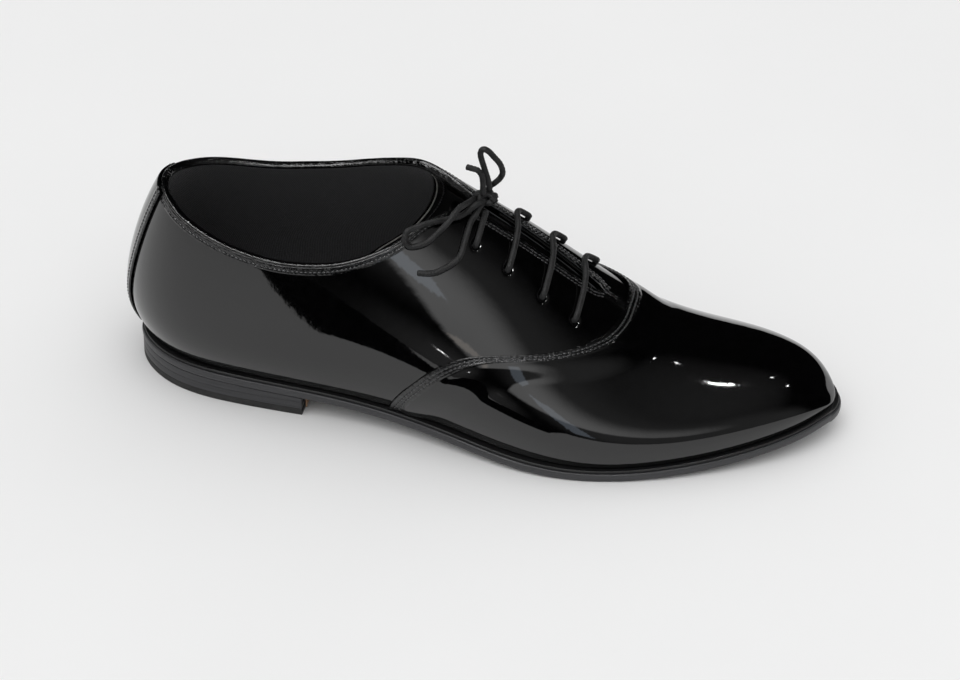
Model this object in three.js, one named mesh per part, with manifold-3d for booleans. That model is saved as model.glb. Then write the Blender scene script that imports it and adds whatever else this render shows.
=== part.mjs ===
// A right-foot leather oxford shoe, in millimetres. +X runs to the toe, +Y to the inner, medial side and
// +Z up.
// Every upper piece is a skin on one shoe surface, which a station table drives.
import * as THREE from "three";
import { ParametricGeometry } from "three/addons/geometries/ParametricGeometry.js";
import { mergeVertices } from "three/addons/utils/BufferGeometryUtils.js";
import Module from "manifold-3d";

const wasm = await Module();
wasm.setup();

// ---- driving dimensions ----

// Spokes of the shoe surface, from the back seam to the toe. Each has the x of its foot on the centre
// line, its direction (180 straight back, 90 across), the ridge's sideways shift, the lateral and medial
// half widths, the bulge above the sole, the shoulder and crown as shares of the half width, the height
// share of the bulge, and the heights of the feather edge and of the ridge.
const stations = [
  [31, 180, 0, 45.5, 45.5, 8, 0.91, 0.5, 0.28, 14, 100],
  [31, 137, 0, 35.5, 35.5, 7.3, 0.91, 0.54, 0.28, 14.2, 103],
  [38, 104, 2.2, 30.5, 30, 6.3, 0.93, 0.58, 0.29, 14, 105],
  [62, 92, 5.2, 31, 30.5, 5.5, 0.95, 0.56, 0.33, 13, 105],
  [90, 90, 8.9, 32.5, 30.4, 5.4, 0.9, 0.51, 0.36, 11.4, 97],
  [118, 90, 10.5, 38.2, 31, 5, 0.82, 0.42, 0.38, 9, 80.5],
  [146, 90, 9.8, 47.3, 35, 3.8, 0.74, 0.39, 0.42, 6.2, 64.5],
  [174, 90, 7.4, 49.2, 38.5, 2.3, 0.7, 0.39, 0.45, 4.7, 44],
  [202, 90, 6.1, 41.2, 39.5, 1.8, 0.7, 0.39, 0.49, 5.7, 31.6],
  [228, 90, 6.1, 29, 34.3, 1.8, 0.75, 0.42, 0.53, 8.2, 29.4],
  [249, 90, 6.6, 14.4, 23.2, 1.5, 0.77, 0.44, 0.55, 11.2, 25.4],
  [258, 90, 5.8, 1.8, 12.2, 0.8, 0.78, 0.44, 0.55, 13.1, 14.5],
];
const toeTip = [259.2, 5.4, 12];
const tipNormal = new THREE.Vector3(1, 0, -0.4); // skins under the outer one end higher at the tip
const toe = stations.length; // u runs from 0 at the back seam to this at the toe tip
const ridge = 5; // v runs from 0 at the lateral feather edge over the ridge to 10 at the medial one
const unitU = 28; // one step of u, roughly, along the shoe
const unitV = 16; // one step of v, roughly, round it

const leather = 1.1;
const gap = 0.3;
const layerGap = 0.55; // between two layers of the upper, whose facets don't match
const stiffenerOuter = -leather - layerGap;
const stiffenerInner = stiffenerOuter - 0.6;
const liningOuter = stiffenerInner - layerGap;
const liningInner = liningOuter - 0.7;
const underLaceRoom = 4.2; // the lace's inner stretches lie between the facings and the tongue
const tongueOuter = liningInner - underLaceRoom;
const tongueInner = tongueOuter - leather;
const tongueLiningInner = tongueInner - layerGap - 0.7;
const lapWidth = 6;
const edgeStop = 4.985; // where the two quarters meet under the vamp, just short of the ridge
const seamHalfGap = 0.012; // half the gap at the back seam, in u

const weltThickness = 1.1;
const weltDrop = 0.7;
const outsoleThickness = 2.7;
const soleLedge = 2.3;
const waistLedge = 3.1;
const heelEnd = 3.02; // the heel breast, in u
const nailRadius = 0.8;
const laceDiameter = 2.3;
const punchRadius = 1.8;
const boxCentre = [122.98, -4.82]; // the middle of the whole shoe in plan, which becomes the origin

// Outlines on the shoe surface, as (u, v) points.
const seamPoints = [
  [4.22, 0], [4.33, 0.6], [4.5, 1.15], [4.85, 1.82], [5.3, 2.28], [5.9, 2.64],
  [6.35, 2.94], [6.75, 3.37], [7, 3.85], [7.12, 4.4], [7.14, 5],
];
const lateralTopline = [
  [0, 3.3], [0.6, 3.2], [1.3, 3], [2.2, 2.75], [2.9, 2.67], [3.6, 2.82], [4.2, 3.26], [4.6, 3.92],
  [4.92, 4.5], [5.1, 4.68],
];
const medialTopline = [
  [0, 3.3], [0.5, 3.21], [1, 3.09], [1.9, 2.9], [2.5, 2.88], [3.15, 3], [3.8, 3.36], [4.3, 3.9],
  [4.75, 4.42], [5.02, 4.64],
];
const facingEdge = [[5.4, 4.69], [6.3, 4.76], [6.72, 4.84], [6.86, 4.96], [7.05, edgeStop]];
const eyeletRows = [[5.2, 3.95], [5.66, 3.88], [6.15, 3.82], [6.6, 3.8]];

// The lace. Inside and outside, its centre line keeps these heights over the shoe surface.
const laceOutside = 1.45;
const laceInside = -6.1;
const knotCentre = [123.5, 8.2, 81.9];
const knotRadii = [4.8, 4.4, 2.9];
const standingLoop = [
  [125, 8.5, 85.2], [124.5, 8.5, 89], [123, 8.5, 94.5], [121.5, 8.5, 100.5], [122.5, 8.5, 103],
  [124.5, 9, 102], [126, 10, 99.5], [128.5, 10.5, 96], [129.5, 10.5, 92.5], [128.5, 11, 89.5],
  [126.5, 11, 87], [124.5, 11.5, 84.8],
];
const standingEnd = [
  [123, 6, 85], [123, 6, 89.5], [122.5, 6, 93], [121, 6, 95], [119, 6, 95.5], [116.5, 6, 96],
];
const lateralLoop = [
  [120, 4.5, 83], [118.5, 0, 84], [116, -6, 84.5], [114, -11, 82.5], [111, -14, 79.5],
  [107, -18, 76.5], [102, -20.5, 75.5], [99.5, -21, 77.5], [99.5, -19.5, 80.5], [101.5, -17.5, 81.5],
  [106.5, -13.5, 82], [113, -7.5, 81], [117, -3.5, 80.5], [121.5, 2, 82.5],
];
const lateralEnd = [
  [122, 3, 80], [121.5, 0, 79], [120.5, -4, 78], [120, -10.5, 75], [119, -17.5, 71],
  [114, -22.5, 68.5], [110, -24.5, 67.5], [105, -25.5, 67.5],
];

// ---- the shoe surface ----

function halfNet(side) {
  return stations.map(([x, fan, shift, lateral, medial, bulge, shoulder, crown, share, foot, top]) => {
    const half = side < 0 ? lateral : medial;
    const reach = [half, half + 0.8 * bulge, half + bulge, half * shoulder, half * crown, 0];
    const rise = [0, share / 3, share, share + 0.57 * (1 - share), share + 0.93 * (1 - share), 1];
    const lean = [0, 0, 0, 0.5, 0.85, 1];
    const angle = THREE.MathUtils.degToRad(fan);
    return reach.map((r, i) => new THREE.Vector3(
      x + r * Math.cos(angle),
      side * r * Math.sin(angle) + lean[i] * shift,
      foot + (top - foot) * rise[i],
    ));
  });
}

// The control net of one side, with the rows and columns past its ends that make the surface run
// smoothly over the back seam, the ridge and the toe tip.
function controlNet(side) {
  const near = halfNet(side);
  const far = halfNet(-side);
  const rows = near.map((row, i) => [...row, far[i][4]]);
  rows.unshift([...far[1], near[1][4]]);
  const last = rows[rows.length - 1];
  const tip = new THREE.Vector3(...toeTip);
  const meanX = last.reduce((sum, p) => sum + p.x, 0) / last.length;
  const end = new THREE.Vector3(1.5 * tip.x - 0.5 * meanX, tip.y, tip.z);
  rows.push(last.map(() => end));
  rows.push(last.map((p) => new THREE.Vector3(p.x, 2 * tip.y - p.y, 2 * tip.z - p.z)));
  return rows.map((row) => [row[0].clone().multiplyScalar(2).sub(row[1]), ...row]);
}

const nets = { lateral: controlNet(-1), medial: controlNet(1) };

function splineWeights(t) {
  const s = 1 - t;
  return [s ** 3, 3 * t ** 3 - 6 * t ** 2 + 4, 3 * s ** 3 - 6 * s ** 2 + 4, t ** 3].map((w) => w / 6);
}

// A point of the surface. A negative u lies past the back seam, and a v past the ridge on the other side.
function surfacePoint(u, v) {
  const overRidge = v > ridge;
  const net = overRidge === u >= 0 ? nets.medial : nets.lateral;
  const across = overRidge ? 2 * ridge - v : v;
  const along = Math.abs(u);
  const row = Math.min(Math.floor(along), toe - 1);
  const column = THREE.MathUtils.clamp(Math.floor(across), 0, ridge - 1);
  const weightsU = splineWeights(along - row);
  const weightsV = splineWeights(across - column);
  const point = new THREE.Vector3();
  weightsU.forEach((wu, a) => {
    weightsV.forEach((wv, b) => point.addScaledVector(net[row + a][column + b], wu * wv));
  });
  return point;
}

function surfaceNormal(u, v) {
  const step = 0.01;
  const alongU = Math.min(u, toe - 3 * step);
  const du = surfacePoint(alongU + step, v).sub(surfacePoint(alongU - step, v));
  const dv = surfacePoint(alongU, v + step).sub(surfacePoint(alongU, v - step));
  return du.cross(dv).normalize();
}

function shoePoint(u, v, height = 0) {
  const normal = u > toe - 0.001 ? tipNormal : surfaceNormal(u, v);
  return surfacePoint(u, v).addScaledVector(normal, height);
}

// ---- solids ----

function signedVolume(position, index) {
  const corners = [0, 1, 2].map(() => new THREE.Vector3());
  let total = 0;
  for (let i = 0; i < index.length; i += 3) {
    corners.forEach((corner, k) => corner.fromBufferAttribute(position, index[i + k]));
    total += corners[0].dot(corners[1].clone().cross(corners[2]));
  }
  return total / 6;
}

// Merges a geometry's shared corners, drops the triangles that close up, and turns its faces outwards.
function weld(geometry) {
  const bare = geometry.clone();
  ["normal", "uv"].forEach((name) => bare.deleteAttribute(name));
  const merged = mergeVertices(bare, 1e-4);
  const kept = [];
  const index = merged.index.array;
  for (let i = 0; i < index.length; i += 3) {
    const [a, b, c] = index.slice(i, i + 3);
    if (a !== b && b !== c && c !== a) kept.push(a, b, c);
  }
  if (signedVolume(merged.attributes.position, kept) < 0) kept.reverse();
  merged.setIndex(kept);
  return merged;
}

function gridSolid(rows, columns, pointAt) {
  const sample = (a, b, target) => target.copy(pointAt(Math.round(a * rows), Math.round(b * columns)));
  return weld(new ParametricGeometry(sample, rows, columns));
}

// A leather skin between two heights over the surface. at(s, t) gives its (u, v) outline, and the rows of
// points at both ends are drawn together to close it, but not where it ends in the toe tip.
function skin({ rows, columns, at, outer, inner, tipped = false }) {
  const ring = 2 * (columns + 1);
  const height = (value, uv) => (typeof value === "function" ? value(...uv) : value);
  return gridSolid(rows + (tipped ? 1 : 2), ring, (i, k) => {
    const s = THREE.MathUtils.clamp((i - 1) / rows, 0, 1);
    const onOuter = k <= columns || k === ring;
    const t = (onOuter ? k % ring : ring - 1 - k) / columns;
    const uv = at(s, t);
    const faces = [height(outer, uv), height(inner, uv)];
    const closing = i === 0 || i > rows + 1;
    return shoePoint(...uv, closing ? (faces[0] + faces[1]) / 2 : faces[onOuter ? 0 : 1]);
  });
}

// A point of the feather edge, moved outwards in plan. side is -1 lateral, 1 medial.
function edgePoint(u, side, outwards) {
  const v = side < 0 ? 0 : 2 * ridge;
  const point = surfacePoint(u, v);
  if (u < 0.001) return point.setX(point.x - outwards);
  if (u > toe - 0.001) return point.setX(point.x + outwards);
  const along = surfacePoint(u + 0.01, v).sub(surfacePoint(u - 0.01, v));
  const out = new THREE.Vector3(along.y, -along.x, 0).multiplyScalar(-side).normalize();
  return point.addScaledVector(out, outwards);
}

// The height of the feather edge, and so of the bottom's curve, at each x.
const featherTrace = Array.from({ length: 121 }, (_, i) => surfacePoint((i * toe) / 120, 0));

function footHeight(x) {
  const next = featherTrace.findIndex((p) => p.x > x);
  if (next < 1) return featherTrace[next < 0 ? featherTrace.length - 1 : 0].z;
  const [a, b] = [featherTrace[next - 1], featherTrace[next]];
  return a.z + ((b.z - a.z) * (x - a.x)) / (b.x - a.x);
}

// A layer of the bottom between two stations. outwards(u) is its edge's distance past the feather edge,
// and top(z) and bottom(z) are worked out from the bottom's curve.
function layer({ from = 0, to = toe, rows, outwards, top, bottom }) {
  const blunt = to < toe;
  const bluntStart = from > 0;
  const total = rows + (blunt ? 1 : 0) + (bluntStart ? 1 : 0);
  return gridSolid(total, 4, (i, k) => {
    const step = i - (bluntStart ? 1 : 0);
    const s = THREE.MathUtils.clamp(step / rows, 0, 1);
    const u = from + (to - from) * s;
    const point = edgePoint(u, k % 4 === 0 || k === 3 ? -1 : 1, outwards(u));
    const z = footHeight(point.x);
    const faces = [top(z), bottom(z)];
    const closing = step < 0 || step > rows;
    return point.setZ(closing ? (faces[0] + faces[1]) / 2 : faces[k === 2 || k === 3 ? 1 : 0]);
  });
}

function toManifold(geometry) {
  const vertProperties = new Float32Array(geometry.attributes.position.array);
  const triVerts = new Uint32Array(geometry.index.array);
  return new wasm.Manifold(new wasm.Mesh({ numProp: 3, vertProperties, triVerts }));
}

function cut(geometry, tools) {
  let solid = toManifold(geometry);
  tools.forEach((tool) => {
    solid = solid.subtract(toManifold(tool));
  });
  const mesh = solid.getMesh();
  const result = new THREE.BufferGeometry();
  result.setAttribute("position", new THREE.BufferAttribute(mesh.vertProperties, 3));
  result.setIndex(new THREE.BufferAttribute(mesh.triVerts, 1));
  return result;
}

// A round bar from one point to another.
function bar(from, to, radius, sides = 8) {
  const length = from.distanceTo(to);
  const geometry = weld(new THREE.CylinderGeometry(radius, radius, length, sides));
  const turn = new THREE.Quaternion().setFromUnitVectors(
    new THREE.Vector3(0, 1, 0),
    to.clone().sub(from).normalize(),
  );
  return geometry.applyQuaternion(turn).translate(...from.clone().add(to).multiplyScalar(0.5).toArray());
}

// A curve through hand-chosen points that puts one step of a tube at each of them.
class Route extends THREE.CatmullRomCurve3 {
  getUtoTmapping(u) {
    return u;
  }
}

function cord(points) {
  const section = new THREE.Shape();
  section.absarc(0, 0, laceDiameter / 2, 0, 2 * Math.PI);
  const outline = new THREE.Shape(section.getPoints(8).slice(0, 8));
  const extrudePath = new Route(points, false, "centripetal");
  const steps = points.length - 1;
  return weld(new THREE.ExtrudeGeometry(outline, { steps, extrudePath, bevelEnabled: false }));
}

// ---- outlines ----

const plan = (points) => new THREE.SplineCurve(points.map((p) => new THREE.Vector2(...p)));
const across = (points) => points.map(([u, v]) => [u, 2 * ridge - v]);
const seam = plan([...seamPoints, ...across(seamPoints.slice(0, -1)).reverse()]);
const seamTrace = seam.getSpacedPoints(120);

// The distance from a point to the vamp's back edge, in millimetres.
function fromSeam(u, v) {
  return Math.min(...seamTrace.map((p) => Math.hypot((u - p.x) * unitU, (v - p.y) * unitV)));
}

// The seam line moved by some millimetres towards the toe, on the lateral side.
function shiftedSeam(distance) {
  return plan(seamPoints.map(([u, v], i) => {
    const t = i / (2 * (seamPoints.length - 1));
    const tangent = seam.getTangent(t);
    const normal = new THREE.Vector2(tangent.y * unitV, -tangent.x * unitU).normalize();
    const moved = [u + (normal.x * distance) / unitU, v + (normal.y * distance) / unitV];
    const stop = i === seamPoints.length - 1 ? edgeStop : moved[1];
    return [moved[0], i === 0 ? 0 : Math.min(stop, edgeStop)];
  }));
}

const cornerShare = 0.64; // where the topline's front corner falls along a quarter's top edge
const liningSplit = 0.55; // where the cloth lining meets the facing lining, along the top edge
const footShare = 0.93; // and along the feather edge

// The (u, v) net of a quarter, stretched between its back seam, feather edge, top edge and front edge.
function quarterNet(topline, frontShift) {
  const front = shiftedSeam(frontShift);
  const top = plan(topline);
  const foot = front.getPoint(0).x;
  const end = front.getPoint(1);
  const facing = plan([topline[topline.length - 1], ...facingEdge, [end.x, end.y]]);
  const topEdge = (s) => (s < cornerShare
    ? top.getPointAt(s / cornerShare)
    : facing.getPointAt((s - cornerShare) / (1 - cornerShare)));
  const back = topline[0][1];
  return (s, rise) => {
    const t = rise * (1.5 - 0.5 * rise); // closer columns towards the top edge
    const along = s < liningSplit ? s * (footShare / liningSplit)
      : footShare + ((s - liningSplit) * (1 - footShare)) / (1 - liningSplit);
    const low = new THREE.Vector2(foot * along, 0);
    const high = topEdge(s);
    const left = new THREE.Vector2(0, back * t);
    const right = front.getPointAt(t);
    const corner = [foot * s * (1 - t) + end.x * s * t, end.y * s * t + back * (1 - s) * t];
    const u = low.x * (1 - t) + high.x * t + left.x * (1 - s) + right.x * s - corner[0];
    const v = low.y * (1 - t) + high.y * t + left.y * (1 - s) + right.y * s - corner[1];
    return [Math.max(u, seamHalfGap), Math.max(v, 0)];
  };
}

const mirrored = (net) => (s, t) => {
  const [u, v] = net(s, t);
  return [u, 2 * ridge - v];
};
const part = (net, from, to) => (s, t) => net(from + (to - from) * s, t);

// ---- sub-parts ----

const group = new THREE.Group();

function add(name, geometry, color, roughness, metalness = 0) {
  const material = new THREE.MeshStandardMaterial({ color, roughness, metalness });
  const mesh = new THREE.Mesh(geometry, material);
  mesh.name = name;
  group.add(mesh);
}

const patent = [0x0c0c0d, 0.08];
const liningCloth = [0x131315, 0.9];
const board = [0x8a6f4e, 0.85];
const soleBlack = [0x2a2a2c, 0.5];
const waxedLace = [0x262628, 0.7];

const weltOut = (u) => ledge(u) - 0.7;

function ledge(u) {
  const waist = THREE.MathUtils.smoothstep(u, 3.2, 5) * (1 - THREE.MathUtils.smoothstep(u, 6, 7.4));
  return soleLedge + (waistLedge - soleLedge) * waist;
}

function eyeletAxis([u, v], side, reach = 6) {
  const w = side < 0 ? v : 2 * ridge - v;
  return [shoePoint(u, w, -reach), shoePoint(u, w, reach)];
}

const punches = (side) => eyeletRows.map((place) => bar(...eyeletAxis(place, side), punchRadius));

function upper() {
  const sides = [["lateral", -1, lateralTopline], ["medial", 1, medialTopline]];
  sides.forEach(([name, side, topline]) => {
    const turned = side < 0 ? (net) => net : mirrored;
    const outerNet = turned(quarterNet(topline, lapWidth));
    const innerNet = turned(quarterNet(topline, -1.1));
    const holes = punches(side);
    const quarter = skin({ rows: 20, columns: 8, at: outerNet, outer: 0, inner: -leather });
    add(`quarter_${name}`, cut(quarter, holes), ...patent);
    const deep = { outer: liningOuter, inner: liningInner };
    const cloth = skin({ rows: 11, columns: 8, at: part(innerNet, 0, liningSplit - 0.01), ...deep });
    add(`quarter_lining_${name}`, cloth, ...liningCloth);
    const facing = skin({ rows: 9, columns: 8, at: part(innerNet, liningSplit, 1), ...deep });
    add(`facing_lining_${name}`, cut(facing, holes), ...patent);
    const stayNet = (s, t) => innerNet(0.7 + 0.2 * s, 0.75 + 0.235 * t);
    const stay = skin({ rows: 4, columns: 2, at: stayNet, outer: stiffenerOuter, inner: stiffenerInner });
    add(`facing_stay_${name}`, cut(stay, holes), ...board);
  });
}

function vamp() {
  const toTip = (s, t) => {
    const start = seam.getPointAt(t);
    return [start.x + (toe - start.x) * s, start.y + (2 * ridge * t - start.y) * s];
  };
  const deepToTip = (s, t) => {
    const [u, v] = toTip(s * 0.93, t);
    return s > 0.999 ? [toe, v] : [u, v];
  };
  const rise = (u, v) => {
    const distance = fromSeam(u, v);
    return (leather + layerGap) * (1 - THREE.MathUtils.smoothstep(distance, lapWidth + 3, lapWidth + 9));
  };
  const outer = (u, v) => rise(u, v);
  const inner = (u, v) => rise(u, v) - leather;
  add("vamp", skin({ rows: 15, columns: 26, at: toTip, outer, inner, tipped: true }), ...patent);
  add("vamp_lining", skin({
    rows: 11, columns: 20, at: deepToTip, outer: liningOuter, inner: liningInner, tipped: true,
  }), ...liningCloth);
}

function stiffeners() {
  const heights = { outer: stiffenerOuter - 0.15, inner: stiffenerInner - 0.05 };
  const counterReach = 2.4;
  const counterNet = (s, t) => {
    const u = counterReach * (2 * s - 1);
    return [u, 0.05 + (2.5 - 0.35 * u * u * 0.7) * t];
  };
  add("heel_counter", skin({ rows: 14, columns: 5, at: counterNet, ...heights }), ...board);
  const puffNet = (s, t) => [9 + 2.2 * s, 0.1 + (2 * ridge - 0.2) * t];
  const puff = skin({ rows: 5, columns: 14, at: puffNet, outer: -leather - 0.35, inner: -leather - 0.7 });
  add("toe_puff", puff, ...board);
}

function backStrap() {
  const net = (s, t) => {
    const v = 0.35 + 2.93 * t;
    const half = 0.3 + 0.26 * THREE.MathUtils.smoothstep(v, 0.4, 3);
    return [half * (2 * s - 1), v];
  };
  const strap = skin({ rows: 4, columns: 9, at: net, outer: leather + layerGap, inner: layerGap });
  add("back_strap", strap, ...patent);
}

// The bound edge that caps the quarter and its lining, from one facing corner round the heel to the other.
function binding() {
  const trace = [
    ...plan(medialTopline).getSpacedPoints(18).reverse().map((p) => [-p.x, p.y]),
    ...plan(lateralTopline).getSpacedPoints(18).slice(1).map((p) => [p.x, p.y]),
  ];
  const frames = trace.map(([u, v]) => {
    const normal = surfaceNormal(u, v);
    const up = surfacePoint(u, v + 0.02).sub(surfacePoint(u, v - 0.02)).normalize();
    return { foot: surfacePoint(u, v), normal, up };
  });
  const section = [[0.15, 0.6], [0.15, 1.2], [-0.6, 1.7], [-2.9, 1.7], [-3.5, 1.2], [-3.5, 0.6]];
  const rows = frames.length - 1;
  const geometry = gridSolid(rows + 2, section.length, (i, k) => {
    const { foot, normal, up } = frames[THREE.MathUtils.clamp(i - 1, 0, rows)];
    const closing = i === 0 || i > rows + 1;
    const [depth, height] = closing ? [-1.7, 1.1] : section[k % section.length];
    return foot.clone().addScaledVector(normal, depth).addScaledVector(up, height);
  });
  add("topline_binding", geometry, ...patent);
}

function tongueParts() {
  const net = (s, t) => {
    const half = 1.05 - 0.35 * s;
    return [4.86 + 2.05 * s, ridge - half + 2 * half * t];
  };
  const leatherSkin = skin({ rows: 9, columns: 7, at: net, outer: tongueOuter, inner: tongueInner });
  add("tongue", leatherSkin, ...patent);
  const clothNet = (s, t) => net(0.02 + 0.96 * s, 0.03 + 0.94 * t);
  const cloth = skin({
    rows: 9, columns: 7, at: clothNet, outer: tongueInner - layerGap, inner: tongueLiningInner,
  });
  add("tongue_lining", cloth, ...liningCloth);
}

// A blind eyelet: a ring set on the inner face of the facing, so that it can't be seen from outside.
function eyelets() {
  const ring = [[1.75, 0], [2.6, 0], [2.4, 0.4], [1.75, 0.4]].map((p) => new THREE.Vector2(...p));
  [["lateral", -1], ["medial", 1]].forEach(([name, side]) => {
    eyeletRows.forEach((place, i) => {
      const [inside, outside] = eyeletAxis(place, side, 1);
      const axis = outside.clone().sub(inside).normalize();
      const centre = inside.clone().add(outside).multiplyScalar(0.5);
      const seat = centre.addScaledVector(axis, liningInner - 0.6);
      const turn = new THREE.Quaternion().setFromUnitVectors(new THREE.Vector3(0, -1, 0), axis);
      const geometry = weld(new THREE.LatheGeometry([...ring, ring[0]], 8));
      geometry.applyQuaternion(turn).translate(...seat.toArray());
      add(`blind_eyelet_${name}_${i + 1}`, geometry, 0x1b1b1c, 0.4, 0.6);
    });
  });
}

// The lace's way through one eyelet, from outside to inside. along is 1 where it goes on inside towards
// the toe, and -1 towards the heel.
function eyeletPass(row, side, along) {
  const [u, v] = eyeletRows[row];
  return [
    [0, 1.9, laceOutside], [0, 0.55, laceOutside - 0.45], [0, 0, -0.3], [0, 0, -4],
    [0.55, 0, laceInside + 0.5], [1.9, 0, laceInside],
  ].map(([ahead, inwards, height]) => {
    const across = v + inwards / unitV;
    return shoePoint(u + (along * ahead) / unitU, side < 0 ? across : 2 * ridge - across, height);
  });
}

// A straight stretch over the throat, from the eyelet row of one side to the other.
function laceBar(row, from) {
  const u = eyeletRows[row][0];
  const stations = [4.3, 4.65, 5, 5.35, 5.7].map((v) => (from < 0 ? v : 2 * ridge - v));
  return stations.map((v) => shoePoint(u, v, laceOutside));
}

// A stretch inside along one eyelet row, kept to one side of the eyelets that it passes.
function laceInner(from, to, side, aside) {
  const [start, end] = [eyeletRows[from], eyeletRows[to]];
  return [0.25, 0.5, 0.75].map((t) => {
    const v = THREE.MathUtils.lerp(start[1], end[1], t) + aside / unitV;
    return shoePoint(THREE.MathUtils.lerp(start[0], end[0], t), side < 0 ? v : 2 * ridge - v, laceInside);
  });
}

function lace() {
  const [lateral, medial] = [-1, 1];
  const knotEnd = (side) => [4.74, 4.45].map((v) => {
    return shoePoint(eyeletRows[0][0], side < 0 ? v : 2 * ridge - v, laceOutside + 0.45);
  });
  const run = [
    ...knotEnd(lateral), ...eyeletPass(0, lateral, 1),
    ...laceInner(0, 1, lateral, 0).slice(1, 2), ...eyeletPass(1, lateral, -1).reverse(),
    ...laceBar(1, lateral), ...eyeletPass(1, medial, 1),
    ...laceInner(1, 3, medial, -4.5), ...eyeletPass(3, medial, -1).reverse(),
    ...laceBar(3, medial), ...eyeletPass(3, lateral, -1),
    ...laceInner(3, 2, lateral, 0).slice(1, 2), ...eyeletPass(2, lateral, 1).reverse(),
    ...laceBar(2, lateral), ...eyeletPass(2, medial, -1),
    ...laceInner(2, 0, medial, 4.5), ...eyeletPass(0, medial, 1).reverse(),
    ...knotEnd(medial).reverse(),
  ];
  add("lace_run", cord(run), ...waxedLace);
  const knot = weld(new THREE.SphereGeometry(1, 12, 8).scale(...knotRadii).translate(...knotCentre));
  add("lace_knot", knot, ...waxedLace);
  const ends = {
    lace_loop_standing: standingLoop, lace_end_standing: standingEnd,
    lace_loop_lateral: lateralLoop, lace_end_lateral: lateralEnd,
  };
  Object.entries(ends).forEach(([name, points]) => {
    add(name, cord(points.map((p) => new THREE.Vector3(...p))), ...waxedLace);
  });
}

function bottom() {
  const weltTop = (z) => z - weltDrop;
  const weltBottom = (z) => weltTop(z) - weltThickness;
  const outsoleTop = (z) => weltBottom(z) - gap - 0.25; // clear of the welt's facets at the toe spring
  const outsoleBottom = (z) => outsoleTop(z) - outsoleThickness;
  const half = 46;
  const welt = gridSolid(2 * half, 4, (i, k) => {
    const turn = i % (2 * half);
    const u = (turn <= half ? turn : 2 * half - turn) * (toe / half);
    const side = turn <= half ? -1 : 1;
    const inwards = 5 - 2.5 * THREE.MathUtils.smoothstep(u, 9.5, 11);
    const point = edgePoint(u, side, k === 1 || k === 2 ? -inwards : weltOut(u));
    const z = footHeight(point.x);
    return point.setZ(k === 2 || k === 3 ? weltBottom(z) : weltTop(z));
  });
  add("welt", welt, 0x121213, 0.5);
  const outsole = layer({ rows: 46, outwards: ledge, top: outsoleTop, bottom: outsoleBottom });
  const nails = nailPlaces();
  const bores = nails.map(([x, y]) => nailBore(x, y));
  add("outsole", cut(outsole, bores), ...soleBlack);

  const ground = outsoleBottom(surfacePoint(2, 0).z);
  const lift = (ground - 3 * gap) / 3;
  const heights = [0, 1, 2].map((n) => n * (lift + gap));
  const heelOut = (u) => ledge(u) - 0.2;
  const heelLayer = (top, under) => layer({ to: heelEnd, rows: 16, outwards: heelOut, top, bottom: under });
  const level = (z) => () => z;
  add("heel_top_piece", cut(heelLayer(level(lift), level(0)), bores), 0x1d1d1e, 0.6);
  add("heel_lift_lower", cut(heelLayer(level(heights[1] + lift), level(heights[1])), bores), ...soleBlack);
  const seat = (z) => outsoleBottom(z) - gap;
  add("heel_lift_upper", cut(heelLayer(seat, level(heights[2])), bores), ...soleBlack);
  nails.forEach(([x, y], i) => add(`heel_nail_${i + 1}`, nail(x, y), 0x9a9488, 0.4, 0.9));

  const inside = (amount) => (u) => -amount - 3 * THREE.MathUtils.smoothstep(u, 9.5, 11);
  add("insole_board", layer({
    rows: 30, outwards: inside(4.8), top: (z) => z + 2.2, bottom: (z) => z + 0.4,
  }), ...board);
  add("sock_lining", layer({
    rows: 30, outwards: inside(5.2), top: (z) => z + 3.3, bottom: (z) => z + 2.5,
  }), ...liningCloth);
  add("cork_filler", layer({
    from: 5.6, to: 11, rows: 14, outwards: inside(5.8), top: (z) => z, bottom: (z) => z - 1.6,
  }), 0x9c7a52, 0.9);
  add("shank", shank(), 0x8d9094, 0.35, 0.9);
}

function nailPlaces() {
  return [[2, 0], [14, -15], [14, 15], [42, -20], [42, 20]];
}

function nailBore(x, y) {
  return bar(new THREE.Vector3(x, y, -1), new THREE.Vector3(x, y, 30), nailRadius + gap, 8);
}

function nail(x, y) {
  const top = 9.5;
  const profile = [[0, 1.2], [nailRadius, 1.2], [nailRadius, top], [0, top + 1.2]];
  const geometry = weld(new THREE.LatheGeometry(profile.map((p) => new THREE.Vector2(...p)), 8));
  return geometry.rotateX(Math.PI / 2).translate(x, y, 0);
}

// The steel spring between outsole and insole board, from the heel seat to the joint of the foot.
function shank() {
  const halfWidth = 6;
  return gridSolid(14, 4, (i, k) => {
    const s = THREE.MathUtils.clamp((i - 1) / 12, 0, 1);
    const u = 2 + 3.4 * s;
    const low = surfacePoint(u, 0);
    const z = low.z - 1.5;
    const y = (k % 4 === 0 || k === 3 ? -1 : 1) * halfWidth;
    const closing = i === 0 || i === 14;
    return new THREE.Vector3(low.x, y, z + (closing ? 0.5 : k === 2 || k === 3 ? 0 : 1));
  });
}

// ---- build ----

upper();
vamp();
stiffeners();
backStrap();
binding();
tongueParts();
eyelets();
lace();
bottom();
group.position.set(-boxCentre[0], -boxCentre[1], 0);

export default group;
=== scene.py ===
import math

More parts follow.
